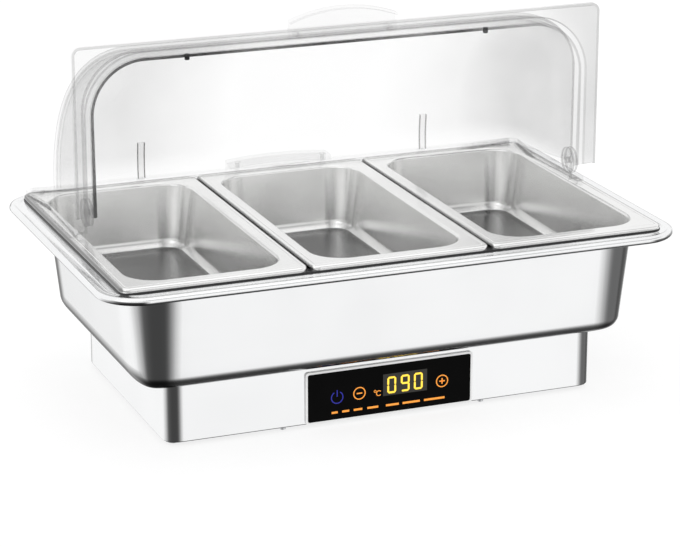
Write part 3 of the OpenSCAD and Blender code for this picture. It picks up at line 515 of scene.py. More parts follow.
def pressed(name, length, depth, corner, section, open_end=False, eased=False):
    """A pressed shell from an outline and a section; an open end loses its last face."""
    piece = start_plate(name, length, depth, corner, section[0][1], eased)
    walk(section)
    if open_end:
        bpy.ops.mesh.delete(type="FACE")
    bpy.ops.object.mode_set(mode="OBJECT")
    return piece


def ring(name, length, depth, corner, height):
    """A bare outline, to bridge to."""
    piece = start_plate(name, length, depth, corner, height)
    bpy.ops.mesh.delete(type="ONLY_FACE")
    bpy.ops.object.mode_set(mode="OBJECT")
    return piece


def join(name, pieces):
    """Join pieces into the first of them."""
    clear_selection()
    for piece in pieces:
        piece.select_set(True)
    bpy.context.view_layer.objects.active = pieces[0]
    bpy.ops.object.join()
    pieces[0].name = pieces[0].data.name = name
    return pieces[0]


def bridge(piece, height):
    """Bridge the two open rings that lie at a height."""
    mesh = edit(piece, "EDGE")
    for edge in mesh.edges:
        level_edge = all(abs(v.co.z - height) < LEVEL_SLACK for v in edge.verts)
        edge.select_set(level_edge and (edge.is_boundary or edge.is_wire))
    bmesh.update_edit_mesh(piece.data)
    bpy.ops.mesh.bridge_edge_loops()
    bpy.ops.object.mode_set(mode="OBJECT")


def weld(piece):
    """Merge doubles and turn all faces outward."""
    edit(piece, "VERT")
    bpy.ops.mesh.select_all(action="SELECT")
    bpy.ops.mesh.remove_doubles(threshold=WELD_REACH)
    bpy.ops.mesh.normals_make_consistent(inside=False)
    bpy.ops.object.mode_set(mode="OBJECT")


def modify(piece, kind, **settings):
    """Add a modifier, set it and apply it."""
    pick(piece)
    modifier = piece.modifiers.new(kind.lower(), kind)
    for key, value in settings.items():
        setattr(modifier, key, value)
    bpy.ops.object.modifier_apply(modifier=modifier.name)


def polish(piece):
    """Smooth shading, with the large flat faces kept flat."""
    pick(piece)
    bpy.ops.object.shade_smooth_by_angle(angle=math.radians(SMOOTH_ANGLE))
    modify(piece, "WEIGHTED_NORMAL", keep_sharp=True, weight=FLAT_WEIGHT)


def cut_away(piece, cutter):
    """Subtract a cutter from a piece and delete the cutter."""
    modify(piece, "BOOLEAN", object=cutter, operation="DIFFERENCE", solver="EXACT")
    pick(cutter)
    bpy.ops.object.delete()


def settle(piece, turn, place):
    """Turn a piece by degrees, move it, and put both into its mesh."""
    pick(piece)
    piece.rotation_euler = [math.radians(angle) for angle in turn]
    piece.location = place
    bpy.ops.object.transform_apply(location=True, rotation=True, scale=True)


def dress(piece, body, material, replaced=()):
    """Give a piece its finish, its body and the solids that it stands for."""
    piece.data.materials.clear()
    piece.data.materials.append(material)
    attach(piece, body)
    if replaced:
        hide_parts(*replaced)
    print(piece.name, len(piece.data.polygons), "faces on", body)


print("tools ready")

# %% [markdown]
# ## Water pan
# The water pan is one drawn sheet: a rolled outer edge, a flat ledge with a shallow groove, and a tub
# whose walls lean in. Its upper and lower skins are walked separately from the same outer ring, so that
# they meet there and close the sheet.

# %% Sizes of the water pan
RIM = (566 * MM, 358 * MM, 40 * MM)
ROLL = 3.5 * MM
LEDGE_Z = 164 * MM
SHEET = 1 * MM
TUB = (505 * MM, 306 * MM, 38 * MM)
TUB_FOOT_Z = 61 * MM
TUB_DRAFT = 11 * MM
TUB_FILLET = 15 * MM
FOOT_STEPS = 12
roll_z = LEDGE_Z - ROLL
wall_h = LEDGE_Z - SHEET - TUB_FOOT_Z
lean = math.atan(TUB_DRAFT / wall_h)


def grow(outline, by):
    """The same outline, moved out all round."""
    return (outline[0] + 2 * by, outline[1] + 2 * by, outline[2] + by)


def foot_arc(top_in, top_z, foot_z, radius, slope):
    """The fillet between a leaning wall, which passes (top_in, top_z), and a floor at foot_z."""
    centre_z = foot_z + radius
    centre_in = top_in + (top_z - centre_z) * math.tan(slope) + radius / math.cos(slope)
    return arc(centre_in, centre_z, radius, -math.degrees(slope), -90.0, FOOT_STEPS)


print("walls lean", round(math.degrees(lean), 2), "degrees")

# %% Press the water pan
GROOVE = [(5.0, 0.1), (6.0, 0.7), (9.5, 0.7), (10.5, 0.1), (12.0, 0.0)]
TUCK = [(0.2, 0.6), (0.9, 0.0)]
ENTRY = 1.5 * MM
NECK = 3 * MM
BAND_SHARE = 0.075
under_z = LEDGE_Z - SHEET

rim_top = arc(ROLL, roll_z, ROLL, 0.0, 90.0)
rim_top += [(run * MM, LEDGE_Z - drop * MM) for run, drop in GROOVE]
rim_under = arc(ROLL, roll_z, ROLL, 0.0, -180.0, 16)
rim_under += [(2 * ROLL + run * MM, under_z - drop * MM) for run, drop in TUCK]
tub_in = arc(0.0, LEDGE_Z - ENTRY, ENTRY, 90.0, 180.0, 5) + foot_arc(
    ENTRY, LEDGE_Z - ENTRY, TUB_FOOT_Z + SHEET, TUB_FILLET - SHEET, lean)
tub_neck = arc(0.0, under_z - NECK, NECK, 90.0, 180.0 - math.degrees(lean), 6)
tub_foot = foot_arc(NECK, under_z - NECK, TUB_FOOT_Z, TUB_FILLET, lean)
(neck_in, neck_z), (foot_in, foot_z) = tub_neck[-1], tub_foot[0]
mid_ring = (foot_in + (neck_in - foot_in) * BAND_SHARE, foot_z + (neck_z - foot_z) * BAND_SHARE)
tub_out = tub_neck + [mid_ring] + tub_foot

upper_skin = join("water_pan_upper", [
    pressed("pan_rim_top", *RIM, rim_top, open_end=True),
    pressed("pan_tub_in", *grow(TUB, ENTRY - SHEET), tub_in, eased=True),
])
bridge(upper_skin, LEDGE_Z)
lower_skin = join("water_pan_lower", [
    pressed("pan_rim_under", *RIM, rim_under, open_end=True),
    pressed("pan_tub_out", *grow(TUB, NECK), tub_out, eased=True),
])
bridge(lower_skin, under_z)
water_pan = join("water_pan_shell", [upper_skin, lower_skin])
weld(water_pan)
polish(water_pan)
dress(water_pan, "base_unit", bright_steel, ["water_pan"])

# %% [markdown]
# The corners of the tub are the darkest steel on the real dish, and the foot of its short ends is dark too.
# A darker room would give that from one side and blacken whole walls from another, so that darkness is
# painted into the steel's colour as dark reflection. A corner gets it by the degrees that it has turned
# from a long side towards a short one, and the foot by how far it has turned under. The ring just above
# the foot keeps that band from spreading up the wall.

# %% Paint dark reflections on the tub
# Bands of degrees for the painted dark reflection in the corners, and how dark it is painted at the foot.
FRONT_BAND = (2.0, 13.0, 24.0, 74.0)
REAR_BAND = (2.0, 13.0, 86.5, 89.6)
END_PAINTED_DARK, END_FULL = 0.95, 0.20


def side_turn(point):
    """The degrees that a point faces away from a long side, towards a short one."""
    return math.degrees(math.atan2(abs(point.normal.x), abs(point.normal.y)))


def corner_painted_dark(point, outline, band):
    """How much painted dark reflection a corner of an outline gets at a point, rising and falling over a band
    of degrees.
    """
    reach = EASE_REACH * outline[2] + HAIR
    if abs(point.co.x) <= outline[0] / 2 - reach or abs(point.co.y) <= outline[1] / 2 - reach:
        return 0.0
    start, full, full_end, end = band
    turned = side_turn(point)
    return max(0.0, min(1.0, (turned - start) / (full - start), (end - turned) / (end - full_end)))


def foot_painted_dark(point):
    """How much painted dark reflection the foot of the tub gets at its short ends: more and more as it turns
    under.
    """
    under = min(1.0, abs(point.normal.z) / END_FULL)
    across = abs(point.normal.x) / max(HAIR, math.hypot(point.normal.x, point.normal.y))
    return END_PAINTED_DARK * under * across


def tub_painted_dark(point):
    """Painted dark reflection in the corners and at the foot of the ends; the walls and the rim stay bright.
    """
    if point.co.z > LEDGE_Z - NECK:
        return 0.0
    corner = corner_painted_dark(point, TUB, REAR_BAND if point.co.y > 0.0 else FRONT_BAND)
    return max(corner, foot_painted_dark(point)) if point.co.z < TUB_FOOT_Z + TUB_FILLET else corner


mark_painted_dark(water_pan, tub_painted_dark)
print("tub marked")

# %% [markdown]
# ## Food pans
# Three equal pans of satin steel hang side by side on the seal. A lip turns down all round the flat rim,
# a fine line is rolled into the rim, and a shallow step stiffens the floor. One pan is pressed as the
# water pan was, with two skins, and then copied twice.

# %% Sizes of a food pan
PAN = (175.6 * MM, 325 * MM, 9 * MM)
PAN_PITCH = 177.2 * MM
PAN_TOP = 169.5 * MM
PAN_FLOOR = 105.3 * MM
PAN_SHEET = 0.8 * MM
LIP_FOOT = 165.2 * MM
LIP_ROUND = 2.4 * MM
PAN_ENTRY = 3 * MM
MOUTH = (150 * MM, 299.4 * MM, 33.2 * MM)
PAN_FILLET = 11.2 * MM
PAN_LEAN = math.radians(7.1)
STEP_BORDER = 7 * MM
STEP_UP = 1.4 * MM
STEP = [(0.0, 0.0), (0.5, 0.06), (1.0, 0.3), (1.6, 0.7), (2.1, 0.94), (2.6, 1.0)]
RIM_LINE = [(4.6, 0.0), (4.9, 0.4), (5.4, 0.4), (5.7, 0.0), (6.4, 0.0)]
entry_z = PAN_TOP - PAN_ENTRY
lean_deg = math.degrees(PAN_LEAN)


def stepped(section):
    """A fillet's section, carried on over the flat border and up the step of the floor."""
    reach, foot = section[-1]
    return section + [(reach + STEP_BORDER + run * MM, foot + rise * STEP_UP) for run, rise in STEP]


print("pan mouth", [round(side / MM, 1) for side in MOUTH])

# %% Press one food pan
round_z = PAN_TOP - LIP_ROUND
lip_top = [(0.0, LIP_FOOT)] + arc(LIP_ROUND, round_z, LIP_ROUND, 0.0, 90.0, 5)
lip_top += [(run * MM, PAN_TOP - drop * MM) for run, drop in RIM_LINE]
lip_under = [(0.0, LIP_FOOT), (PAN_SHEET, LIP_FOOT)]
lip_under += arc(LIP_ROUND, round_z, LIP_ROUND - PAN_SHEET, 0.0, 90.0, 4)
lip_under += [(lip_top[-1][0], PAN_TOP - PAN_SHEET)]
bowl_in = arc(0.0, entry_z, PAN_ENTRY, 90.0, 180.0 - lean_deg, 6)
bowl_in += stepped(foot_arc(*bowl_in[-1], PAN_FLOOR, PAN_FILLET, PAN_LEAN))
bowl_out = arc(0.0, entry_z, PAN_ENTRY - PAN_SHEET, 90.0, 180.0 - lean_deg, 6)
bowl_out += stepped(foot_arc(*bowl_out[-1], PAN_FLOOR - PAN_SHEET, PAN_FILLET + PAN_SHEET, PAN_LEAN))

pan_upper = join("pan_upper", [
    pressed("lip_top", *PAN, lip_top, open_end=True),
    pressed("bowl_in", *MOUTH, bowl_in),
])
bridge(pan_upper, PAN_TOP)
pan_lower = join("pan_lower", [
    pressed("lip_under", *PAN, lip_under, open_end=True),
    pressed("bowl_out", *MOUTH, bowl_out),
])
bridge(pan_lower, PAN_TOP - PAN_SHEET)
middle_pan = join("food_pan_middle_shell", [pan_upper, pan_lower])
weld(middle_pan)
polish(middle_pan)
print("one pan:", len(middle_pan.data.polygons), "faces")

# %% [markdown]
# Satin steel mirrors softly. In a real pan the floor is the darkest part, two soft bands stand in each
# corner of the bowl, and the gaps between the pans are dark lines along the long lips. They are painted
# into the steel's colour as on the tub, once, before the pan is copied: painted dark reflection on the
# floor, darker towards the right, and in the bands, and painted shade on the edges of the long lips. A
# band is given by its middle and half width in degrees and by its depth.

# %% Paint dark reflections and shade on the pan
# Painted shade on the long lips; painted dark reflection on the walls, on the floor and in the bands.
LIP_PAINTED_SHADE, SIDE_PAINTED_DARK = 0.9, 0.04
FLOOR_PAINTED_DARK, FLOOR_DRIFT, FLOOR_HALF = 0.75, 0.25, 60 * MM
BOWL_BANDS = [(14.0, 18.0, 0.40), (66.0, 24.0, 0.24)]
QUARTER = 90.0


def pan_painted_dark(point):
    """Painted dark reflection on the floor and in bands in the corners of the bowl, painted shade on the
    edges of the long lips.
    """
    height = point.co.z
    if height < PAN_FLOOR + STEP_UP + HAIR:
        return FLOOR_PAINTED_DARK + FLOOR_DRIFT * max(-1.0, min(1.0, point.co.x / FLOOR_HALF))
    if height > entry_z:
        return LIP_PAINTED_SHADE * abs(point.normal.x) if abs(point.co.x) > PAN[0] / 2 - LIP_ROUND else 0.0
    turned = side_turn(point)
    sunk = (entry_z - height) / (entry_z - PAN_FLOOR)
    dull = SIDE_PAINTED_DARK * sunk * turned / QUARTER
    for middle, half, depth in BOWL_BANDS:
        dull += depth * max(0.0, 1.0 - abs(turned - middle) / half)
    return min(1.0, dull)


mark_painted_dark(middle_pan, pan_painted_dark)
print("pan marked")

# %% Copy the pan to both sides
def copy_along(piece, name, shift):
    """A copy with its own mesh, moved inside that mesh."""
    pick(piece)
    bpy.ops.object.duplicate()
    twin = bpy.context.object
    twin.name = twin.data.name = name
    bpy.ops.object.mode_set(mode="EDIT")
    bpy.ops.mesh.select_all(action="SELECT")
    bpy.ops.transform.translate(value=shift)
    bpy.ops.object.mode_set(mode="OBJECT")
    return twin


pans = {
    "left": copy_along(middle_pan, "food_pan_left_shell", (-PAN_PITCH, 0.0, 0.0)),
    "middle": middle_pan,
    "right": copy_along(middle_pan, "food_pan_right_shell", (PAN_PITCH, 0.0, 0.0)),
}
for side, pan in pans.items():
    dress(pan, "pan_" + side, satin_steel, ["food_pan_" + side])

# %% [markdown]
# ## Base box
# The base is a folded box of bright sheet with small corner bends. Its outer skin is walked up from the
# middle of the wall to the top flange and down to the bottom flange. Solidify then gives the sheet its
# thickness, and two cuts make room for the panel in front and the mains inlet behind. Its corners get
# painted dark reflection, as those of the tub do.

# %% Fold the base box
BASE = (430 * MM, 248 * MM, 14 * MM)
BASE_FOOT, BASE_MIDDLE, BASE_TOP = 4 * MM, 32 * MM, 61 * MM
FOLD = 1.2 * MM
TOP_FLANGE, FOOT_FLANGE, FLANGE_CORNER = 20 * MM, 12 * MM, 2 * MM
PANEL_WINDOW = ((4 * MM, -124 * MM, 29.5 * MM), (149.8 * MM, 6 * MM, 37.8 * MM))
INLET_WINDOW = ((150 * MM, 124 * MM, 32 * MM), (27.8 * MM, 6 * MM, 20.3 * MM))

upward = [(0.0, BASE_MIDDLE)] + arc(FOLD, BASE_TOP - FOLD, FOLD, 0.0, 90.0, 5)
downward = [(0.0, BASE_MIDDLE)] + arc(FOLD, BASE_FOOT + FOLD, FOLD, 0.0, -90.0, 5)
top_opening = (BASE[0] - 2 * TOP_FLANGE, BASE[1] - 2 * TOP_FLANGE, FLANGE_CORNER)
foot_opening = (BASE[0] - 2 * FOOT_FLANGE, BASE[1] - 2 * FOOT_FLANGE, FLANGE_CORNER)
base_upper = join("base_upper", [
    pressed("up", *BASE, upward, open_end=True, eased=True),
    ring("top", *top_opening, BASE_TOP),
])
bridge(base_upper, BASE_TOP)
base_lower = join("base_lower", [
    pressed("down", *BASE, downward, open_end=True, eased=True),
    ring("foot", *foot_opening, BASE_FOOT),
])
bridge(base_lower, BASE_FOOT)
base_box = join("base_box", [base_upper, base_lower])
weld(base_box)
modify(base_box, "SOLIDIFY", thickness=SHEET, offset=-1.0, use_even_offset=True)


def cut_box(piece, place, size):
    """Cut a box-shaped window into a piece."""
    clear_selection()
    bpy.ops.mesh.primitive_cube_add(size=1.0, location=place, scale=size)
    cut_away(piece, bpy.context.object)


cut_box(base_box, *PANEL_WINDOW)
cut_box(base_box, *INLET_WINDOW)
polish(base_box)
# The base's corners get painted dark reflection, over the same band of degrees as the tub's front corners.
mark_painted_dark(base_box, lambda point: corner_painted_dark(point, BASE, FRONT_BAND))
dress(base_box, "base_unit", bright_steel, ["base_housing"])

# %% [markdown]
# ## Marks on the panel
# The panel is a sheet of black glass lit from behind. Its marks are drawn flat, as thin raised shapes
# that glow a little: a power sign, a minus and a plus in circles, a row of bars that grow longer, and a
# display with three figures of seven bars each. They are modelled lying down and then stood up.

# %% Glowing inks and mark tools
GLASS_FACE = -125.8 * MM
INK = 0.1 * MM
FLICKER_SCALE, FLICKER_LOW = 350.0, 0.82
RING_STEPS = 72


def ink(name, colour, glow):
    """A printed or lit mark: one hue with a little unevenness in its light."""
    material, shader, place = new_finish(name, {"Roughness": 0.4, "Emission Strength": glow})
    shade = place.noise(FLICKER_SCALE).blend([FLICKER_LOW * part for part in colour], colour)
    feed(shader, {"Base Color": shade, "Emission Color": shade})
    return material


def thicken():
    """Raise the open faces of the edited mark into a thin plate."""
    raise_all(INK)
    bpy.ops.mesh.select_all(action="SELECT")
    bpy.ops.mesh.normals_make_consistent(inside=False)
    bpy.ops.object.mode_set(mode="OBJECT")


def bar_mark(across, up, length, width, point=0.0, upright=False):
    """A bar, with its ends drawn to a point where asked."""
    piece = new_plane()
    size = (width, length, 1.0) if upright else (length, width, 1.0)
    bpy.ops.transform.resize(value=size)
    if point:
        bpy.ops.mesh.bevel(offset=point, segments=1, affect="VERTICES")
        bpy.ops.mesh.select_all(action="SELECT")
    bpy.ops.transform.translate(value=(across, up, 0.0))
    thicken()
    return piece


def ring_mark(across, up, radius, width, gap=None):
    """A ring, open between two headings where asked; 0 degrees is up."""
    piece = new_ring(radius, width, RING_STEPS)
    if gap:
        mesh = bmesh.from_edit_mesh(piece.data)
        for face in mesh.faces:
            middle = face.calc_center_median()
            turn = math.degrees(math.atan2(middle.x, middle.y))
            face.select_set(gap[0] < turn < gap[1])
        bmesh.update_edit_mesh(piece.data)
        bpy.ops.mesh.delete(type="FACE")
    bpy.ops.mesh.select_all(action="SELECT")
    bpy.ops.transform.translate(value=(across, up, 0.0))
    thicken()
    return piece


def stand_up(name, marks, material, layer=0):
    """Join marks, stand them on the face of the glass and give them their ink."""
    piece = join(name, marks)
    settle(piece, (90.0, 0.0, 0.0), (0.0, GLASS_FACE - layer * INK, 0.0))
    dress(piece, "base_unit", material)


orange_ink = ink("orange ink", (0.86, 0.30, 0.03), 0.55)
blue_ink = ink("blue ink", (0.006, 0.008, 0.30), 0.35)
yellow_light = ink("yellow light", (0.90, 0.62, 0.05), 0.8)
print("inks ready")

# %% Draw the marks
CIRCLE, STROKE = 6.2 * MM, 1.0 * MM
POWER_AT, STEM_AT = (-48.9 * MM, 27.4 * MM), (-48.9 * MM, 31.4 * MM)
POWER_GAP, STEM = (-32.0, 32.0), 6.5 * MM
MINUS_AT, PLUS_AT = (-26.7 * MM, 28.5 * MM), (56.9 * MM, 29.4 * MM)
SIGN = (5.6 * MM, 1.2 * MM)
DEGREE_AT, DEGREE = (-11.0 * MM, 28.2 * MM), (1.3 * MM, 0.6 * MM)
CELSIUS_AT, CELSIUS, CELSIUS_GAP = (-7.2 * MM, 26.0 * MM), (2.8 * MM, 0.8 * MM), (50.0, 130.0)
BAR_Z, BAR_WIDTH = 12.8 * MM, 2.0 * MM
BARS = [(-51.4, 6), (-40.4, 7), (-28.1, 8.5), (-13.3, 11), (6.5, 13), (25.6, 17.5), (49.1, 21)]

stand_up("power_mark", [
    ring_mark(*POWER_AT, CIRCLE, STROKE, POWER_GAP),
    bar_mark(*STEM_AT, STEM, STROKE, upright=True),
], blue_ink)
stand_up("minus_mark", [
    ring_mark(*MINUS_AT, CIRCLE, STROKE),
    bar_mark(*MINUS_AT, *SIGN),
], orange_ink)
stand_up("plus_mark", [
    ring_mark(*PLUS_AT, CIRCLE, STROKE),
    bar_mark(*PLUS_AT, *SIGN),
    bar_mark(*PLUS_AT, *SIGN, upright=True),
], orange_ink)
stand_up("degree_mark", [
    ring_mark(*DEGREE_AT, *DEGREE),
    ring_mark(*CELSIUS_AT, *CELSIUS, CELSIUS_GAP),
], orange_ink)
stand_up("level_bars", [bar_mark(at * MM, BAR_Z, length * MM, BAR_WIDTH) for at, length in BARS], orange_ink)

# %% [markdown]
# A seven-bar figure is seven bars, lit or dark. The bars are named a to g, clockwise from the top with g
# in the middle, as on any such display.

# %% Light the display
SCREEN = (19.25 * MM, 33.05 * MM, 44.5 * MM, 21.3 * MM)
SHOWN = "090"
FIGURES = {"0": "abcdef", "9": "abcdfg"}
FIGURE_AT = [(5.7 * MM, 32.5 * MM), (19.3 * MM, 32.6 * MM), (32.6 * MM, 32.8 * MM)]
FIGURE_W, FIGURE_H, SEGMENT = 9.0 * MM, 16.6 * MM, 1.9 * MM
SEGMENT_POINT = 0.45 * SEGMENT


def figure(text, across, up):
    """The lit bars of one figure."""
    half_w, half_h = (FIGURE_W - SEGMENT) / 2, (FIGURE_H - SEGMENT) / 2
    flat, tall = FIGURE_W - SEGMENT, half_h
    bars = {
        "a": (0.0, half_h, flat, False), "d": (0.0, -half_h, flat, False), "g": (0.0, 0.0, flat, False),
        "b": (half_w, half_h / 2, tall, True), "c": (half_w, -half_h / 2, tall, True),
        "e": (-half_w, -half_h / 2, tall, True), "f": (-half_w, half_h / 2, tall, True),
    }
    lit = []
    for name in FIGURES[text]:
        right, above, length, upright = bars[name]
        lit.append(bar_mark(across + right, up + above, length, SEGMENT, SEGMENT_POINT, upright))
    return lit


screen_ink = ink("screen", (0.010, 0.009, 0.006), 0.3)
stand_up("screen_face", [bar_mark(*SCREEN)], screen_ink)
lit_bars = []
for text, spot in zip(SHOWN, FIGURE_AT):
    lit_bars += figure(text, *spot)
stand_up("figures", lit_bars, yellow_light, layer=1)

# %% [markdown]
# ## Roll-top cover
# Each half of the cover is a quarter barrel with rounded shoulders, moulded with a short skirt and a
# flange that turns down at its edge. Half of a rounded outline, spun about the hinge line, makes the
# barrel. The front half is the same shape a size smaller, turned over into the rear one. Where the barrel
# meets the flange, narrow rings carry the dark line and the pale line that the edge shows, as painted
# shade; they lie flat and differ only in finish.

# %% Sizes of the cover
HINGE_Z = 192.8 * MM
COVER_T = 2.5 * MM
REAR = (500 * MM, 298 * MM, 55 * MM)
FRONT = (493 * MM, 291 * MM, 51.5 * MM)
REAR_SWEEP, FRONT_SWEEP = 90.0, 96.0
FLANGE = (527 * MM, 322 * MM, 8 * MM)
FLANGE_TOP = -18.3 * MM
FLANGE_LIP = 4.7 * MM
RINGS = ["bead", "gap", "line", "plate"]
RING_EDGES = [0.3 * MM, 5.0 * MM, 6.2 * MM]
RING_STARTS = [0.0, 0.2 * MM, 0.4 * MM, 0.6 * MM, 1 * MM]
LIP_BAND = 9 * MM
RIM_SLOT = 3
PIN_HOLE, PIN_STEPS = 3.05 * MM, 48
SHELL_STEPS = 30
HINGE_LINE = {"center": (0.0, 0.0, 0.0), "axis": (-1.0, 0.0, 0.0)}


def half_outline(name, length, depth, corner, height, start):
    """The rear half of a rounded outline, as a bare chain of edges."""
    piece = start_plate(name, length, depth, corner, height)
    bpy.ops.mesh.bisect(plane_co=(0.0, start, 0.0), plane_no=(0.0, 1.0, 0.0), clear_inner=True)
    bpy.ops.mesh.select_all(action="SELECT")
    bpy.ops.mesh.delete(type="ONLY_FACE")
    mesh = edit(piece, "EDGE")
    for edge in mesh.edges:
        edge.select_set(all(v.co.y < start + HAIR for v in edge.verts))
    bmesh.update_edit_mesh(piece.data)
    bpy.ops.mesh.delete(type="EDGE")
    bpy.ops.object.mode_set(mode="OBJECT")
    return piece


def drop_edges(piece, by, test):
    """Extrude the edges that pass a test straight down."""
    mesh = edit(piece, "EDGE")
    for edge in mesh.edges:
        edge.select_set(all(test(v.co) for v in edge.verts))
    bmesh.update_edit_mesh(piece.data)
    bpy.ops.mesh.extrude_edges_move(TRANSFORM_OT_translate={"value": (0.0, 0.0, -by)})
    bpy.ops.object.mode_set(mode="OBJECT")


print("hinge at", HINGE_Z)

# %% Spin one half of the cover
def barrel(name, outline, sweep):
    """Spin half an outline about the hinge line and add the skirt below it."""
    piece = half_outline(name, *outline, 0.0, 0.0)
    edit(piece, "EDGE")
    bpy.ops.mesh.select_all(action="SELECT")
    bpy.ops.mesh.spin(steps=SHELL_STEPS, angle=math.radians(sweep), **HINGE_LINE)
    weld(piece)
    drop_edges(piece, -FLANGE_TOP, lambda at: abs(at.z) < HAIR and at.y > -HAIR)
    return piece


def strip(name, inner, outer, start_in, start_out):
    """A flat strip between two half outlines, at the flange's height."""
    piece = join(name, [
        half_outline("inner", *inner, FLANGE_TOP, start_in),
        half_outline("outer", *outer, FLANGE_TOP, start_out),
    ])
    bridge(piece, FLANGE_TOP)
    return piece


def at_rim(at):
    """Whether a place lies in the outer band of the flange, where the lip turns down."""
    return abs(at.x) > FLANGE[0] / 2 - LIP_BAND or at.y > FLANGE[1] / 2 - LIP_BAND


def cover_half(name, outline, sweep, bead_finish, line_finish):
    """A whole half in its closed place, hinge line at the origin: barrel, rings, flange and lip."""
    outlines = [outline] + [grow(outline, by) for by in RING_EDGES] + [FLANGE]
    layers = [barrel("barrel", outline, sweep)]
    for i, ring_name in enumerate(RINGS):
        layers.append(strip(ring_name, *outlines[i:i + 2], *RING_STARTS[i:i + 2]))
    drop_edges(layers[-1], FLANGE_LIP, at_rim)
    finishes = [clear_sheet, bead_finish, clear_sheet, line_finish, flange_sheet]
    for layer, finish in zip(layers, finishes):
        layer.data.materials.append(finish)
    piece = join(name, layers)
    piece.data.materials.append(pale_edge)
    weld(piece)
    modify(
        piece, "SOLIDIFY", thickness=COVER_T, offset=-1.0, use_even_offset=True, material_offset_rim=RIM_SLOT)
    return piece


# The rear half's rings stay clear; on the front half the inner ring is painted dark and the line ring pale,
# as painted shade.
rear_shell = cover_half("rear_cover_shell", REAR, REAR_SWEEP, clear_sheet, flange_sheet)
front_shell = cover_half("front_cover_shell", FRONT, FRONT_SWEEP, dark_edge, pale_edge)
for shell in (rear_shell, front_shell):
    print(shell.name, [round(side / MM, 1) for side in shell.dimensions])

# %% Hang both halves on the hinge
def seat(piece, turned):
    """Move a half to the hinge line; the front half is turned over into its open place."""
    turn = Matrix.Rotation(math.pi, 4, Vector((0.0, 1.0, 1.0))) if turned else Matrix.Identity(4)
    pick(piece)
    piece.matrix_world = Matrix.Translation((0.0, 0.0, HINGE_Z)) @ turn
    bpy.ops.object.transform_apply(location=True, rotation=True, scale=True)


def pin_hole(piece):
    """Drill both end walls for the hinge pins."""
    clear_selection()
    bpy.ops.mesh.primitive_cylinder_add(
        vertices=PIN_STEPS, radius=PIN_HOLE, depth=REAR[0] + 4 * COVER_T, rotation=(0.0, math.pi / 2, 0.0))
    cut_away(piece, bpy.context.object)


for shell, turned in ((rear_shell, False), (front_shell, True)):
    body = shell.name.replace("_shell", "")
    pin_hole(shell)
    seat(shell, turned)
    polish(shell)
    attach(shell, body)
    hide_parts(body)
    print(shell.name, "on", body)

# %% [markdown]
# Small moulded details finish the cover: a round boss about each hinge pin, two stop ribs near the free
# edge of the front half, the lugs that catch them when the cover is shut, and two pegs under the front
# edge. They are made closed, like the halves, and then seated in the same way.

# %% Bosses, ribs, lugs and pegs
ENDS = (-1, 1)
BOSS_R, BOSS_PROUD, BOSS_STEPS, BOSS_SOFT = 13 * MM, 0.1 * MM, 64, 0.3 * MM
RIB_X, RIB_W, RIB_H, RIB_SOFT = 150 * MM, 7 * MM, 4 * MM, 0.6 * MM
RIB_ANGLE, RIB_STEPS = 15.0, 8
LUG_AT, LUG_SIZE = (144.15 * MM, -20.8 * MM), (7 * MM, 5.3 * MM, 5.3 * MM)
PEG_R, PEG_L, PEG_DROP, PEG_STEPS, PEG_SOFT = 2.4 * MM, 5.5 * MM, -8 * MM, 32, 0.4 * MM
front_inside = FRONT[1] / 2 - COVER_T


def close_up(piece, soften):
    """Turn the faces outward and soften the edges of a small moulding."""
    weld(piece)
    modify(piece, "BEVEL", width=soften, segments=2, limit_method="ANGLE")
    return piece


def boss_ring(end, half_length):
    """A boss about the hinge line, a hair thicker than the end wall that it stiffens."""
    piece = new_ring(BOSS_R, BOSS_R - PIN_HOLE, BOSS_STEPS)
    thick = COVER_T + 2 * BOSS_PROUD
    raise_all(thick)
    bpy.ops.object.mode_set(mode="OBJECT")
    inner = half_length - COVER_T - BOSS_PROUD
    settle(piece, (0.0, 90.0, 0.0), (inner if end > 0 else -inner - thick, 0.0, 0.0))
    return close_up(piece, BOSS_SOFT)


def stop_rib(across):
    """A rib that follows the inside of the front half near its free edge."""
    piece = new_plane()
    bpy.ops.transform.resize(value=(RIB_W, RIB_H, 1.0))
    bpy.ops.transform.translate(value=(across, front_inside - RIB_H / 2, 0.0))
    bpy.ops.mesh.spin(steps=RIB_STEPS, angle=math.radians(RIB_ANGLE), **HINGE_LINE)
    bpy.ops.object.mode_set(mode="OBJECT")
    settle(piece, (FRONT_SWEEP - RIB_ANGLE, 0.0, 0.0), (0.0, 0.0, 0.0))
    return close_up(piece, RIB_SOFT)


def stop_lug(across):
    """A small block on the rear half that catches a rib."""
    piece = new_plane()
    bpy.ops.transform.resize(value=(*LUG_SIZE[:2], 1.0))
    bpy.ops.transform.translate(value=(across, *LUG_AT))
    raise_all(LUG_SIZE[2])
    bpy.ops.object.mode_set(mode="OBJECT")
    return close_up(piece, RIB_SOFT)


def peg(across):
    """A round peg that stands in from the front edge of the front half."""
    piece = new_disc(PEG_R, PEG_STEPS)
    raise_all(PEG_L)
    bpy.ops.object.mode_set(mode="OBJECT")
    settle(piece, (90.0, 0.0, 0.0), (across, front_inside, PEG_DROP))
    return close_up(piece, PEG_SOFT)


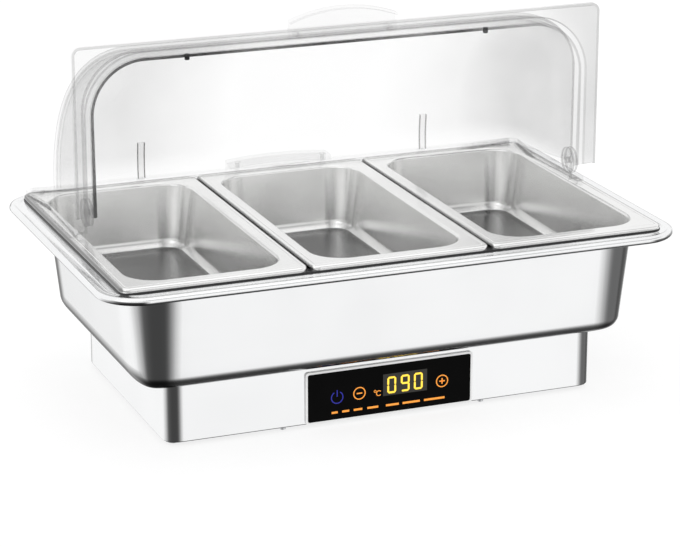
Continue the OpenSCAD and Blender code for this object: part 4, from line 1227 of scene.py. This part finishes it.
moulded = {
    "rear_bosses": ([boss_ring(end, REAR[0] / 2) for end in ENDS], "rear_cover", False, handle_sheet),
    "front_bosses": ([boss_ring(end, FRONT[0] / 2) for end in ENDS], "front_cover", True, handle_sheet),
    "stop_ribs": ([stop_rib(end * RIB_X) for end in ENDS], "front_cover", True, handle_sheet),
    "stop_lugs": ([stop_lug(end * RIB_X) for end in ENDS], "rear_cover", False, handle_sheet),
    "edge_pegs": ([peg(end * RIB_X) for end in ENDS], "front_cover", True, dark_edge),
}
for name, (parts, body, turned, finish) in moulded.items():
    detail = join(name, parts)
    seat(detail, turned)
    polish(detail)
    dress(detail, body, finish)

# %% [markdown]
# The sides of a clear rib and the rim of a clear boss show as lines, because light leaves there sideways.
# Those faces get the finish of a cut edge. Which faces they are follows from how far they face along X.

# %% Lines on the ribs and bosses
SIDEWAYS, ROUND = 0.9, 0.5


def edge_faces(name, finish, picked):
    """Give the picked faces of a piece the finish of a cut edge."""
    mesh = bpy.data.objects[name].data
    mesh.materials.append(finish)
    for face in mesh.polygons:
        face.material_index = int(picked(abs(face.normal.x)))
    print(name, "edged")


edge_faces("stop_ribs", dark_edge, lambda along: along > SIDEWAYS)
for name in ("rear_bosses", "front_bosses"):
    edge_faces(name, pale_edge, lambda along: along < ROUND)

# %% [markdown]
# ## Finish the remaining solids
# Small pieces keep their solids. Each gets the finish of what it is made of, by the name of its slot in
# the record. The handles, rivets and hinge pieces are clear mouldings, a little clearer than the cover.

# %% Finishes for the solids
FINISHES = {
    "bright_steel": bright_steel, "satin_steel": satin_steel, "plain_steel": plain_steel,
    "zinc_steel": zinc, "aluminium": milled_metal, "copper": copper, "clear_sheet": clear_sheet,
    "black_glass": black_glass, "white_bezel": white_plastic, "black_plastic": black_plastic,
    "rubber": rubber, "silicone": silicone, "ceramic": ceramic, "mineral_wool": fibre,
    "circuit_board": board, "amber_lens": amber, "wire_cover": wire_red,
}
CLEAR_SOLIDS = ["rear_handle", "front_handle", "rear_rivets", "front_rivets", "hinge_pins", "hinge_caps"]
for subpart in frame["record"]["subparts"]:
    solid = nodes[subpart["node"]]
    solid.data.materials.clear()
    solid.data.materials.append(FINISHES[subpart["material_slot"]])
for name in CLEAR_SOLIDS:
    nodes[name].data.materials[0] = handle_sheet
print("solids finished:", len(nodes))
